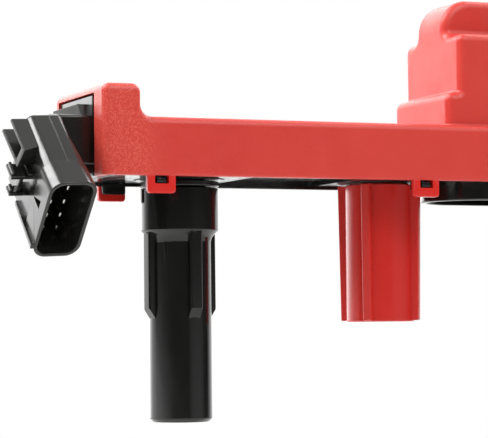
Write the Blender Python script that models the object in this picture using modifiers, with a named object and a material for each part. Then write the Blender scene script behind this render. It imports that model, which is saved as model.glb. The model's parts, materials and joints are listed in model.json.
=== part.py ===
"""Direct-ignition cassette for a four-cylinder engine, modelled piece by piece in metres, +Z up.

+X runs along the row of plug boots, away from the connector, and the connector's mouth faces -Y.
The origin lies midway between the two mounting pillars, on the plane of their feet.
"""

import math

import bmesh
import bpy
from mathutils import Matrix, Vector

# Whole unit
PLUG_PITCH = 0.104
PLUG_COUNT = 4
END_OVERHANG = 0.0273
BODY_DEPTH = 0.0397
CLEARANCE = 0.0003
OVERCUT = 0.001
WELD = 0.000001

# Top cover: bar, raised connector end and hump
WALL = 0.0020
BAR_HEIGHT = 0.01485
COVER_EDGE_ROUND = 0.0008
COVER_CORNER_ROUND = 0.0020
STEP_LENGTH = 0.0102
STEP_RISE = 0.0079
STEP_FILLET = 0.0029
STEP_ROUND = 0.0024
HUMP_LENGTH = 0.1650
HUMP_SETBACK = 0.0036
HUMP_RISE = 0.0250
HUMP_ROUND = 0.0018
HUMP_CORNER_ROUND = 0.0023
PLINTH_OVERHANG = 0.0030
PLINTH_SIDE = 0.0003
PLINTH_RISE = 0.0091
CROWN_RISE = 0.0103
CROWN_FRONT_SETBACK = 0.0093
CROWN_BACK_SETBACK = 0.0069
CROWN_END_ROUND = 0.0088
CROWN_END_SETBACK = 0.0004

# Snap loops on the cover and their catches on the base
LOOP_WIDTH = 0.0075
LOOP_DROP = 0.00445
LOOP_THICKNESS = 0.0018
LOOP_ROUND = 0.0008
LOOP_WINDOW_WIDTH = 0.0037
LOOP_WINDOW_HEIGHT = 0.00205
LOOP_OUTER_OFFSET = 0.0121
LOOP_PILLAR_OFFSET = 0.0043
CATCH_DEPTH = 0.0024
CATCH_DROP = 0.0027

# Base plate
FLOOR_RECESS = 0.0002
FLOOR_THICKNESS = 0.0026
BOSS_MARGIN = 0.0015
POCKET_DEPTH = 0.0012
POCKET_DEPTH_ACROSS = 0.0310
POCKET_BOOT_GAP = 0.0145
POCKET_PILLAR_GAP = 0.0129
TRAY_END_OFFSET = 0.0323
TRAY_HALF_WIDTH = 0.0142
TRAY_DROP = 0.0046
TRAY_WALL = 0.0018
BOARD_POST_RADIUS = 0.0020

# Mounting pillars and their steel bolt sleeves
PILLAR_OFFSET = 0.0575
PILLAR_LENGTH = 0.0369
PILLAR_RADIUS = 0.0091
PILLAR_RIB_REACH = 0.0024
PILLAR_RIB_TAPER = 0.0006
PILLAR_RIB_THICKNESS = 0.0024
PILLAR_RIBS = 4
SPIGOT_RADIUS = 0.0076
SPIGOT_LENGTH = 0.0075
BOLT_RADIUS = 0.0043
SLEEVE_WALL = 0.0013

# Coil towers and coils
TOWER_RADIUS = 0.0068
TOWER_WALL = 0.0009
TOWER_DEPTH = 0.0360
TOWER_RISE = 0.0088
TOWER_END_WALL = 0.0022
FLANGE_RADIUS = 0.0103
FLANGE_THICKNESS = 0.0014
LID_THICKNESS = 0.0018
LID_PLUG_DEPTH = 0.0020
CORE_RADIUS = 0.0019
PRIMARY_THICKNESS = 0.0009
BOBBIN_END_GAP = 0.0012

# Plug boots
COLLAR_RADIUS = 0.0101
COLLAR_HEIGHT = 0.0109
COLLAR_CHAMFER = 0.0020
BOOT_RADIUS = 0.0081
BOOT_LENGTH = 0.0602
BOOT_TIP_CHAMFER = 0.0009
BOOT_BORE_RADIUS = 0.0050
FIN_COUNT = 4
FIN_THICKNESS = 0.0033
FIN_REACH = 0.0016
FIN_LENGTH = 0.0196
FIN_RUNOUT = 0.0024
FIN_TURN = math.radians(6)
KEY_WIDTH = 0.0012
KEY_HEIGHT = 0.0038
KEY_REACH = 0.0004

# High-tension terminal, contact spring and contact cap
TERMINAL_RADIUS = 0.0027
TERMINAL_HEIGHT = 0.0007
POST_RADIUS = 0.0013
NUB_LENGTH = 0.0014
SPRING_RADIUS = 0.0022
SPRING_WIRE_RADIUS = 0.0004
SPRING_LENGTH = 0.0098
SPRING_TURNS = 5
SPRING_POINTS_PER_TURN = 8
CAP_RADIUS = 0.0034
CAP_LENGTH = 0.0035
CAP_CUP_RADIUS = 0.0025
CAP_CUP_DEPTH = 0.0021

# Connector
PANEL_FRONT_MARGIN = 0.0075
PANEL_BACK_MARGIN = 0.0034
PANEL_RECESS = 0.0005
PANEL_FLANGE = 0.0018
PANEL_FLANGE_LIP = 0.0012
COLLAR_BLOCK_REACH = 0.0027
COLLAR_BLOCK_TOP = 0.0186
COLLAR_BLOCK_BOTTOM = 0.0040
COLLAR_BLOCK_FRONT = 0.0095
COLLAR_BLOCK_BACK = 0.0130
NECK_TOP = 0.0156
NECK_BOTTOM = 0.0050
NECK_FRONT = 0.0105
NECK_BACK = 0.0020
MOUTH_REACH = 0.0108
MOUTH_FORWARD = 0.0220
MOUTH_DROP = 0.0116
CONNECTOR_TILT = math.radians(45)
CONNECTOR_YAW = math.radians(4)
CONNECTOR_TWIST = math.radians(0.5)
SHELL_LENGTH = 0.0262
SHELL_THICKNESS = 0.0104
SHELL_STEP_THICKNESS = 0.0114
SHELL_WIDTH = 0.0230
SHELL_ROUND = 0.0024
MOUTH_LENGTH = 0.0085
MOUTH_STEP = 0.0003
MOUTH_THICKNESS = 0.0124
MOUTH_WIDTH = 0.0244
MOUTH_ROUND = 0.0036
SHELL_WALL = 0.0010
SHELL_CAVITY = 0.0190
PIN_ROWS = 2
PINS_PER_ROW = 5
PIN_PITCH = 0.0044
PIN_ROW_PITCH = 0.0036
PIN_SIZE = 0.0010
PIN_FREE_LENGTH = 0.0122
PIN_ROOT_LENGTH = 0.0040
LATCH_THICKNESS = 0.0010
LATCH_PLATES = (
    # place across the shell, reach from its face, lower end, upper end
    (-0.0107, 0.0036, 0.0143, 0.0250),
    (-0.0062, 0.0045, 0.0137, 0.0267),
    (-0.0030, 0.0056, 0.0130, 0.0180),
    (0.0024, 0.0050, 0.0130, 0.0160),
)
LATCH_BAR = 0.0010
LATCH_WEB_REACH = 0.0030
LATCH_LIP = 0.0022

# Electronics inside
BOARD_END_GAP = 0.0065
BOARD_SIDE_GAP = 0.0018
BOARD_THICKNESS = 0.0016
LEAD_THICKNESS = 0.0008
LEAD_WIDTH = 0.0036
TRANSFORMER_X = -0.0300
TRANSFORMER_LENGTH = 0.0340
TRANSFORMER_HEIGHT = 0.0190
TRANSFORMER_LEG = 0.0050
WINDING_BUILD = 0.0060
WINDING_SIDE_GAP = 0.0012
CAPACITOR_X = 0.0150
CAPACITOR_LENGTH = 0.0300
CAPACITOR_DEPTH = 0.0180
CAPACITOR_HEIGHT = 0.0170
CAPACITOR_ROUND = 0.0015
POWER_MODULE_END_GAP = 0.0040
POWER_MODULE_LENGTH = 0.0300
POWER_MODULE_DEPTH = 0.0200
POWER_MODULE_HEIGHT = 0.0060

ROUND_STEPS = 24
SMALL_ROUND_STEPS = 16
SMOOTH_ANGLE = math.radians(35)

# Levels above the cover's lower edge, and places along the row
HALF_LENGTH = PLUG_PITCH * (PLUG_COUNT - 1) / 2 + END_OVERHANG
LEFT_END = -HALF_LENGTH
HALF_DEPTH = BODY_DEPTH / 2
HUMP_DEPTH = BODY_DEPTH - 2 * HUMP_SETBACK
INNER_HALF_DEPTH = HALF_DEPTH - WALL
FLOOR_TOP = FLOOR_RECESS + FLOOR_THICKNESS
FLOOR_MIDDLE = FLOOR_RECESS + FLOOR_THICKNESS / 2
STEP_TOP = BAR_HEIGHT + STEP_RISE
HUMP_TOP = BAR_HEIGHT + HUMP_RISE
BOARD_LENGTH = HUMP_LENGTH - 2 * (WALL + BOARD_END_GAP)
BOARD_DEPTH = HUMP_DEPTH - 2 * (WALL + BOARD_SIDE_GAP)
TRANSFORMER_DEPTH = HUMP_DEPTH - 2 * (WALL + WINDING_SIDE_GAP + WINDING_BUILD)
PLUG_XS = [PLUG_PITCH * (i - (PLUG_COUNT - 1) / 2) for i in range(PLUG_COUNT)]
PILLAR_X = PLUG_XS[-1] - PILLAR_OFFSET
PILLAR_XS = {"left": -PILLAR_X, "right": PILLAR_X}
OUTER_LOOP_X = PLUG_XS[-1] + LOOP_OUTER_OFFSET
PILLAR_LOOP_X = PILLAR_X - LOOP_PILLAR_OFFSET
LOOP_XS = (-OUTER_LOOP_X, -PILLAR_LOOP_X, 0.0, PILLAR_LOOP_X, OUTER_LOOP_X)
SLEEVE_RADIUS = BOLT_RADIUS + SLEEVE_WALL
SLEEVE_HOLE_RADIUS = SLEEVE_RADIUS + CLEARANCE
BOARD_BOTTOM = BAR_HEIGHT - WALL - CLEARANCE
BOARD_TOP = BOARD_BOTTOM + BOARD_THICKNESS
LEAD_TOP = BOARD_BOTTOM - CLEARANCE
TERMINAL_TOP = -TOWER_DEPTH - CLEARANCE
SPRING_TOP = TERMINAL_TOP - TERMINAL_HEIGHT - CLEARANCE
SPRING_BOTTOM = SPRING_TOP - SPRING_LENGTH
CAP_TOP = SPRING_BOTTOM - CLEARANCE
BOOT_TOP = -CLEARANCE - FLANGE_THICKNESS - CLEARANCE

for old in list(bpy.data.objects):
    bpy.data.objects.remove(old, do_unlink=True)
PARTS = bpy.data.collections.new("ignition_cassette")
bpy.context.scene.collection.children.link(PARTS)
FRAME = bpy.data.objects.new("cassette_frame", None)
FRAME.location = (0, 0, PILLAR_LENGTH)
PARTS.objects.link(FRAME)


def material(name, colour, roughness, metallic=0.0):
    made = bpy.data.materials.new(name)
    made.use_nodes = True
    shader = made.node_tree.nodes["Principled BSDF"]
    shader.inputs["Base Color"].default_value = (*colour, 1)
    shader.inputs["Roughness"].default_value = roughness
    shader.inputs["Metallic"].default_value = metallic
    return made


RED_HOUSING = material("red_textured_plastic", (0.60, 0.055, 0.045), 0.55)
RED_PILLAR = material("red_gloss_plastic", (0.50, 0.020, 0.015), 0.25)
BLACK_PLASTIC = material("black_plastic", (0.010, 0.010, 0.009), 0.30)
BLACK_RUBBER = material("black_rubber", (0.008, 0.008, 0.008), 0.40)
TOWER_PLASTIC = material("tower_plastic", (0.030, 0.028, 0.026), 0.45)
STEEL = material("zinc_plated_steel", (0.55, 0.55, 0.53), 0.35, 1.0)
BRASS = material("brass", (0.65, 0.46, 0.18), 0.30, 1.0)
TIN = material("tinned_copper", (0.70, 0.69, 0.66), 0.25, 1.0)
COPPER = material("enamelled_copper", (0.42, 0.15, 0.06), 0.35, 0.8)
FERRITE = material("ferrite", (0.035, 0.035, 0.038), 0.70)
IRON = material("laminated_iron", (0.20, 0.20, 0.21), 0.50, 1.0)
BOARD = material("circuit_board", (0.020, 0.110, 0.050), 0.50)
FILM = material("capacitor_case", (0.55, 0.30, 0.03), 0.40)


def select_only(obj):
    bpy.ops.object.select_all(action="DESELECT")
    obj.select_set(True)
    bpy.context.view_layer.objects.active = obj


def apply_modifiers(obj):
    select_only(obj)
    for modifier in list(obj.modifiers):
        bpy.ops.object.modifier_apply(modifier=modifier.name)
    return obj


def object_from(mesh_data, name, finish=None):
    obj = bpy.data.objects.new(name, mesh_data)
    PARTS.objects.link(obj)
    if finish:
        mesh_data.materials.append(finish)
    return obj


def object_from_bmesh(shape, name, finish=None):
    data = bpy.data.meshes.new(name)
    shape.to_mesh(data)
    shape.free()
    return object_from(data, name, finish)


def block(low, high, name="tool", finish=None, vertical_round=0.0, edge_round=0.0, segments=3):
    """A box between two corners, its upright edges rounded first and then all its sharp edges."""
    low = Vector(low)
    high = Vector(high)
    shape = bmesh.new()
    bmesh.ops.create_cube(shape, size=1.0)
    bmesh.ops.scale(shape, vec=high - low, verts=shape.verts)
    bmesh.ops.translate(shape, vec=(low + high) / 2, verts=shape.verts)
    if vertical_round:
        upright = [e for e in shape.edges if abs((e.verts[0].co - e.verts[1].co).z) > (high - low).z / 2]
        bmesh.ops.bevel(shape, geom=upright, offset=vertical_round, segments=segments, profile=0.5, affect="EDGES")
    if edge_round:
        sharp = [e for e in shape.edges if e.calc_face_angle() > math.radians(60)]
        bmesh.ops.bevel(shape, geom=sharp, offset=edge_round, segments=2, profile=0.5, affect="EDGES")
    return object_from_bmesh(shape, name, finish)


def rod(x, y, bottom, top, radius, name="tool", finish=None, steps=ROUND_STEPS):
    shape = bmesh.new()
    bmesh.ops.create_cone(
        shape, cap_ends=True, segments=steps, radius1=radius, radius2=radius, depth=top - bottom,
        matrix=Matrix.Translation((x, y, (bottom + top) / 2)),
    )
    return object_from_bmesh(shape, name, finish)


def turned(profile, name, finish, x=0.0, steps=ROUND_STEPS, closed=True):
    """A turned piece: its profile of (radius, height) runs down the outer side and back up the bore."""
    shape = bmesh.new()
    points = [shape.verts.new((r, 0, z)) for r, z in profile]
    for a, b in zip(points, points[1:]):
        shape.edges.new((a, b))
    if closed:
        shape.edges.new((points[-1], points[0]))
    obj = object_from_bmesh(shape, name, finish)
    screw = obj.modifiers.new("turn", "SCREW")
    screw.steps = steps
    screw.render_steps = steps
    screw.use_merge_vertices = True
    screw.merge_threshold = 0.00001
    apply_modifiers(obj)
    obj.data.transform(Matrix.Translation((x, 0, 0)))
    obj.data.shade_smooth()
    obj.data.set_sharp_from_angle(angle=SMOOTH_ANGLE)
    return obj


def tube(x, bottom, top, inner, outer, name, finish, steps=SMALL_ROUND_STEPS):
    return turned([(outer, top), (outer, bottom), (inner, bottom), (inner, top)], name, finish, x, steps)


def mesh_from_curve(curve_data, name, finish=None, placed=Matrix.Identity(4)):
    """The closed mesh of a curve: a filled outline, or a wire with its caps welded on."""
    guide = bpy.data.objects.new("guide", curve_data)
    PARTS.objects.link(guide)
    guide.matrix_world = placed
    bpy.context.view_layer.update()
    evaluated = guide.evaluated_get(bpy.context.evaluated_depsgraph_get())
    data = bpy.data.meshes.new_from_object(evaluated)
    data.transform(guide.matrix_world)
    bpy.data.objects.remove(guide, do_unlink=True)
    shape = bmesh.new()
    shape.from_mesh(data)
    bmesh.ops.remove_doubles(shape, verts=shape.verts, dist=WELD)
    bmesh.ops.recalc_face_normals(shape, faces=shape.faces)
    shape.to_mesh(data)
    shape.free()
    data.name = name
    return object_from(data, name, finish)


def outline_solid(points, thickness, name="tool", finish=None, placed=Matrix.Identity(4)):
    data = bpy.data.curves.new("outline", "CURVE")
    data.dimensions = "2D"
    data.fill_mode = "BOTH"
    data.extrude = thickness / 2
    spline = data.splines.new("POLY")
    spline.points.add(len(points) - 1)
    for point, (x, y) in zip(spline.points, points):
        point.co = (x, y, 0, 1)
    spline.use_cyclic_u = True
    return mesh_from_curve(data, name, finish, placed)


def arc(centre, radius, start, end, steps=6):
    angles = [math.radians(start + (end - start) * i / steps) for i in range(steps + 1)]
    return [(centre[0] + radius * math.cos(a), centre[1] + radius * math.sin(a)) for a in angles]


def boolean(target, tool, operation):
    modifier = target.modifiers.new(operation.lower(), "BOOLEAN")
    modifier.operation = operation
    modifier.object = tool
    apply_modifiers(target)
    bpy.data.objects.remove(tool, do_unlink=True)
    shape = bmesh.new()
    shape.from_mesh(target.data)
    bmesh.ops.remove_doubles(shape, verts=shape.verts, dist=WELD)
    bmesh.ops.dissolve_degenerate(shape, dist=WELD, edges=shape.edges)
    bmesh.ops.triangulate(shape, faces=shape.faces)
    shape.to_mesh(target.data)
    shape.free()


def cut(target, *tools):
    for tool in tools:
        boolean(target, tool, "DIFFERENCE")


def fuse(target, *tools):
    for tool in tools:
        boolean(target, tool, "UNION")


# An outline drawn in X and Y is stood up so that its Y becomes the object's Z.
STOOD_UP = Matrix.Rotation(math.radians(90), 4, "X")


def bar_with_raised_end():
    step_end = LEFT_END + STEP_LENGTH
    points = [(LEFT_END, 0), (-LEFT_END, 0), (-LEFT_END, BAR_HEIGHT)]
    points += arc((step_end + STEP_FILLET, BAR_HEIGHT + STEP_FILLET), STEP_FILLET, 270, 180)
    points += arc((step_end - STEP_ROUND, STEP_TOP - STEP_ROUND), STEP_ROUND, 0, 90)
    points += [(LEFT_END, STEP_TOP)]
    bar = outline_solid(points, BODY_DEPTH, "top_cover", RED_HOUSING, STOOD_UP)
    shape = bmesh.new()
    shape.from_mesh(bar.data)
    bmesh.ops.dissolve_limit(shape, angle_limit=math.radians(1), verts=shape.verts, edges=shape.edges)
    corners = [e for e in shape.edges
               if abs(abs(e.verts[0].co.x) - HALF_LENGTH) < OVERCUT / 10
               and abs(abs(e.verts[1].co.x) - HALF_LENGTH) < OVERCUT / 10
               and abs((e.verts[0].co - e.verts[1].co).z) > BAR_HEIGHT / 2]
    bmesh.ops.bevel(shape, geom=corners, offset=COVER_CORNER_ROUND, segments=4, profile=0.5, affect="EDGES")
    shape.to_mesh(bar.data)
    shape.free()
    rounding = bar.modifiers.new("edges", "BEVEL")
    rounding.width = COVER_EDGE_ROUND
    rounding.segments = 2
    rounding.limit_method = "ANGLE"
    rounding.angle_limit = math.radians(60)
    return apply_modifiers(bar)


def hump_blocks(inset, sunk):
    """Plinth, main block and crown of the hump, or the hollow inside them when inset by the wall."""
    half_length = HUMP_LENGTH / 2 - inset
    half_depth = HUMP_DEPTH / 2 - inset
    edge = 0.0 if inset else HUMP_ROUND
    corner = 0.0 if inset else HUMP_CORNER_ROUND
    plinth_half = half_length + PLINTH_OVERHANG
    plinth_side = half_depth - PLINTH_SIDE
    plinth = block((-plinth_half, -plinth_side, sunk), (plinth_half, plinth_side, BAR_HEIGHT + PLINTH_RISE - inset),
                   vertical_round=corner, edge_round=edge)
    main = block((-half_length, -half_depth, sunk), (half_length, half_depth, HUMP_TOP - inset),
                 vertical_round=corner, edge_round=edge)
    crown_half = half_length - CROWN_END_SETBACK
    crown_top = HUMP_TOP + CROWN_RISE - inset
    end_round = CROWN_END_ROUND - inset
    crown_bottom = HUMP_TOP - CROWN_END_ROUND - 2 * HUMP_ROUND
    front = -HUMP_DEPTH / 2 + CROWN_FRONT_SETBACK + inset
    back = HUMP_DEPTH / 2 - CROWN_BACK_SETBACK - inset
    crown = block((-crown_half, crown_bottom, -back), (crown_half, crown_top, -front),
                  vertical_round=end_round, edge_round=edge, segments=6)
    crown.data.transform(STOOD_UP)
    return plinth, main, crown


def snap_loop(x, side):
    """A loop that hangs from the cover's edge, flush with its outer face; side is -1 at the front, 1 behind."""
    outer = side * HALF_DEPTH
    inner = side * (HALF_DEPTH - LOOP_THICKNESS)
    low_y = min(outer, inner)
    high_y = max(outer, inner)
    loop = block((x - LOOP_WIDTH / 2, -LOOP_DROP, -high_y), (x + LOOP_WIDTH / 2, COVER_EDGE_ROUND * 2, -low_y),
                 vertical_round=LOOP_ROUND)
    loop.data.transform(STOOD_UP)
    window = block((x - LOOP_WINDOW_WIDTH / 2, low_y - OVERCUT, -LOOP_WINDOW_HEIGHT),
                   (x + LOOP_WINDOW_WIDTH / 2, high_y + OVERCUT, 0))
    cut(loop, window)
    return loop


def top_cover():
    cover = bar_with_raised_end()
    fuse(cover, *hump_blocks(0.0, BAR_HEIGHT / 2))
    inner_left = LEFT_END + WALL
    cut(
        cover,
        block((inner_left, -INNER_HALF_DEPTH, -OVERCUT), (-inner_left, INNER_HALF_DEPTH, BAR_HEIGHT - WALL)),
        block((inner_left, -INNER_HALF_DEPTH, -OVERCUT),
              (LEFT_END + STEP_LENGTH - WALL, INNER_HALF_DEPTH, STEP_TOP - WALL)),
        *hump_blocks(WALL, OVERCUT),
        block((LEFT_END - OVERCUT, -HALF_DEPTH + PANEL_FRONT_MARGIN, -OVERCUT),
              (inner_left + OVERCUT, HALF_DEPTH - PANEL_BACK_MARGIN, STEP_TOP - WALL)),
    )
    for x in PILLAR_XS.values():
        cut(cover, rod(x, 0, 0, BAR_HEIGHT + OVERCUT, SLEEVE_HOLE_RADIUS))
    for x in LOOP_XS:
        for side in (-1, 1):
            fuse(cover, snap_loop(x, side))
    return cover


def stadium(half_length, radius, bottom, top):
    straight = half_length - radius
    points = arc((straight, 0), radius, -90, 90, 12) + arc((-straight, 0), radius, 90, 270, 12)
    return outline_solid(points, top - bottom, placed=Matrix.Translation((0, 0, (bottom + top) / 2)))


def catch(x, side):
    """A block behind a snap loop, hung from the base's edge, with a nub that fills the loop's window."""
    inner_face = HALF_DEPTH - LOOP_THICKNESS - CLEARANCE
    wide = LOOP_WIDTH / 2 - CLEARANCE
    narrow = LOOP_WINDOW_WIDTH / 2 - CLEARANCE
    stem_outer = INNER_HALF_DEPTH - 2 * CLEARANCE
    ys = sorted((side * inner_face, side * (inner_face - CATCH_DEPTH)))
    body = block((x - wide, ys[0], -CATCH_DROP), (x + wide, ys[1], -CLEARANCE))
    ys = sorted((side * stem_outer, side * (stem_outer - CATCH_DEPTH / 2)))
    stem = block((x - narrow, ys[0], -LOOP_WINDOW_HEIGHT / 2), (x + narrow, ys[1], FLOOR_MIDDLE))
    ys = sorted((side * (inner_face - CATCH_DEPTH / 2), side * (HALF_DEPTH - CLEARANCE)))
    nub = block((x - narrow + CLEARANCE, ys[0], -LOOP_WINDOW_HEIGHT + CLEARANCE),
                (x + narrow - CLEARANCE, ys[1], -2 * CLEARANCE))
    fuse(body, stem, nub)
    return body


def base_plate():
    left = LEFT_END + WALL + PANEL_FLANGE + 2 * CLEARANCE
    right = HALF_LENGTH - WALL - CLEARANCE
    half = INNER_HALF_DEPTH - CLEARANCE
    base = block((left, -half, FLOOR_RECESS), (right, half, FLOOR_TOP), "base_plate", BLACK_PLASTIC)
    pocket_outer = PLUG_XS[-1] - POCKET_BOOT_GAP
    pocket_inner = PILLAR_X + POCKET_PILLAR_GAP
    for side in (-1, 1):
        xs = sorted((side * pocket_outer, side * pocket_inner))
        cut(base, block((xs[0], -POCKET_DEPTH_ACROSS / 2, -OVERCUT),
                        (xs[1], POCKET_DEPTH_ACROSS / 2, FLOOR_RECESS + POCKET_DEPTH)))
    tray_half = PLUG_XS[-2] + TRAY_END_OFFSET
    tray = stadium(tray_half, TRAY_HALF_WIDTH, -TRAY_DROP, FLOOR_MIDDLE)
    cut(tray, stadium(tray_half - TRAY_WALL, TRAY_HALF_WIDTH - TRAY_WALL, -TRAY_DROP - OVERCUT, FLOOR_TOP))
    bosses = [rod(x, 0, 0, FLOOR_MIDDLE, FLANGE_RADIUS + BOSS_MARGIN) for x in PLUG_XS]
    bosses += [rod(x, 0, 0, FLOOR_MIDDLE, PILLAR_RADIUS + PILLAR_RIB_REACH) for x in PILLAR_XS.values()]
    posts = [rod(x, y, FLOOR_MIDDLE, BOARD_BOTTOM - CLEARANCE, BOARD_POST_RADIUS, steps=SMALL_ROUND_STEPS)
             for x in board_post_xs() for y in board_post_ys()]
    catches = [catch(x, side) for x in LOOP_XS for side in (-1, 1)]
    fuse(base, tray, *bosses, *posts, *catches)
    cut(base, *[rod(x, 0, -OVERCUT, FLOOR_TOP + OVERCUT, TOWER_RADIUS + CLEARANCE) for x in PLUG_XS])
    cut(base, *[rod(x, 0, -OVERCUT, FLOOR_TOP + OVERCUT, SPIGOT_RADIUS + CLEARANCE) for x in PILLAR_XS.values()])
    return base


def board_post_xs():
    reach = BOARD_LENGTH / 2 - 2 * BOARD_POST_RADIUS
    return (-reach, 0.0, reach)


def board_post_ys():
    reach = BOARD_DEPTH / 2 - 2 * BOARD_POST_RADIUS
    return (-reach, reach)


def mounting_pillar(name, x):
    top = -CLEARANCE
    pillar = turned(
        [(SPIGOT_RADIUS, SPIGOT_LENGTH), (SPIGOT_RADIUS, top), (PILLAR_RADIUS, top),
         (PILLAR_RADIUS, -PILLAR_LENGTH), (SLEEVE_HOLE_RADIUS, -PILLAR_LENGTH), (SLEEVE_HOLE_RADIUS, SPIGOT_LENGTH)],
        name, RED_PILLAR,
    )
    inner = (SLEEVE_HOLE_RADIUS + PILLAR_RADIUS) / 2
    outer = PILLAR_RADIUS + PILLAR_RIB_REACH
    rib_bottom = -PILLAR_LENGTH + CLEARANCE
    rib_outline = [(inner, rib_bottom), (outer - PILLAR_RIB_TAPER, rib_bottom), (outer, top), (inner, top)]
    for i in range(PILLAR_RIBS):
        rib = outline_solid(rib_outline, PILLAR_RIB_THICKNESS, placed=STOOD_UP)
        rib.data.transform(Matrix.Rotation(math.tau * (i + 0.5) / PILLAR_RIBS, 4, "Z"))
        fuse(pillar, rib)
    pillar.data.transform(Matrix.Translation((x, 0, 0)))
    return pillar


def bolt_sleeve(name, x):
    return tube(x, -PILLAR_LENGTH, BAR_HEIGHT, BOLT_RADIUS, SLEEVE_RADIUS, name, STEEL, ROUND_STEPS)


def coil_tower(name, x):
    bore = TOWER_RADIUS - TOWER_WALL
    flange_top = -CLEARANCE
    flange_bottom = flange_top - FLANGE_THICKNESS
    floor = -TOWER_DEPTH + TOWER_END_WALL
    post_hole = POST_RADIUS + CLEARANCE
    profile = [
        (TOWER_RADIUS, TOWER_RISE), (TOWER_RADIUS, flange_top), (FLANGE_RADIUS, flange_top),
        (FLANGE_RADIUS, flange_bottom), (TOWER_RADIUS, flange_bottom), (TOWER_RADIUS, -TOWER_DEPTH),
        (post_hole, -TOWER_DEPTH), (post_hole, floor), (bore, floor), (bore, TOWER_RISE),
    ]
    return turned(profile, name, TOWER_PLASTIC, x)


def coil_lid(name, x):
    bore = TOWER_RADIUS - TOWER_WALL - CLEARANCE
    under = TOWER_RISE + CLEARANCE
    top = under + LID_THICKNESS
    profile = [(0, top), (TOWER_RADIUS, top), (TOWER_RADIUS, under), (bore, under),
               (bore, under - LID_PLUG_DEPTH), (0, under - LID_PLUG_DEPTH)]
    return turned(profile, name, BLACK_PLASTIC, x, SMALL_ROUND_STEPS, closed=False)


def coil_levels():
    top = TOWER_RISE - LID_PLUG_DEPTH
    bottom = TERMINAL_TOP + TOWER_END_WALL + 3 * CLEARANCE + TERMINAL_HEIGHT
    return bottom, top


def coil_core(name, x):
    bottom, top = coil_levels()
    return rod(x, 0, bottom, top, CORE_RADIUS, name, IRON, SMALL_ROUND_STEPS)


def primary_winding(name, x):
    bottom, top = coil_levels()
    inner = CORE_RADIUS + CLEARANCE
    return tube(x, bottom + BOBBIN_END_GAP, top - BOBBIN_END_GAP, inner, inner + PRIMARY_THICKNESS, name, COPPER)


def secondary_winding(name, x):
    bottom, top = coil_levels()
    inner = CORE_RADIUS + PRIMARY_THICKNESS + 2 * CLEARANCE
    return tube(x, bottom, top, inner, TOWER_RADIUS - TOWER_WALL - CLEARANCE, name, COPPER)


def high_tension_terminal(name, x):
    head_bottom = -TOWER_DEPTH + TOWER_END_WALL + CLEARANCE
    head_top = head_bottom + TERMINAL_HEIGHT
    foot_bottom = TERMINAL_TOP - TERMINAL_HEIGHT
    profile = [
        (0, head_top), (TERMINAL_RADIUS, head_top), (TERMINAL_RADIUS, head_bottom), (POST_RADIUS, head_bottom),
        (POST_RADIUS, TERMINAL_TOP), (TERMINAL_RADIUS, TERMINAL_TOP), (TERMINAL_RADIUS, foot_bottom),
        (POST_RADIUS, foot_bottom), (POST_RADIUS, foot_bottom - NUB_LENGTH), (0, foot_bottom - NUB_LENGTH),
    ]
    return turned(profile, name, BRASS, x, SMALL_ROUND_STEPS, closed=False)


def spring_points():
    """One open helix between the terminal and the cap, with a flat half turn at each end."""
    top = SPRING_TOP - SPRING_WIRE_RADIUS
    bottom = SPRING_BOTTOM + SPRING_WIRE_RADIUS
    count = SPRING_TURNS * SPRING_POINTS_PER_TURN
    points = []
    for i in range(count + 1):
        along = i / count
        angle = math.tau * SPRING_TURNS * along
        height = top + (bottom - top) * along
        points.append(Vector((SPRING_RADIUS * math.cos(angle), SPRING_RADIUS * math.sin(angle), height)))
    return points


def contact_spring(name, x):
    points = spring_points()
    data = bpy.data.curves.new(name, "CURVE")
    data.dimensions = "3D"
    data.bevel_depth = SPRING_WIRE_RADIUS
    data.bevel_resolution = 1
    data.use_fill_caps = True
    spline = data.splines.new("POLY")
    spline.points.add(len(points) - 1)
    for point, place in zip(spline.points, points):
        point.co = (*place, 1)
    return mesh_from_curve(data, name, STEEL, Matrix.Translation((x, 0, 0)))


def print_spring_gap():
    points = spring_points()
    apart = SPRING_POINTS_PER_TURN // 2
    least = min((a - b).length for i, a in enumerate(points) for b in points[i + apart:])
    print(f"contact spring: least gap between turns {(least - 2 * SPRING_WIRE_RADIUS) * 1000:.2f} mm")


def contact_cap(name, x):
    bottom = CAP_TOP - CAP_LENGTH
    profile = [
        (0, CAP_TOP + NUB_LENGTH), (POST_RADIUS, CAP_TOP + NUB_LENGTH), (POST_RADIUS, CAP_TOP), (CAP_RADIUS, CAP_TOP),
        (CAP_RADIUS, bottom), (CAP_CUP_RADIUS, bottom), (CAP_CUP_RADIUS, bottom + CAP_CUP_DEPTH),
        (0, bottom + CAP_CUP_DEPTH),
    ]
    return turned(profile, name, BRASS, x, SMALL_ROUND_STEPS, closed=False)


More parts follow.
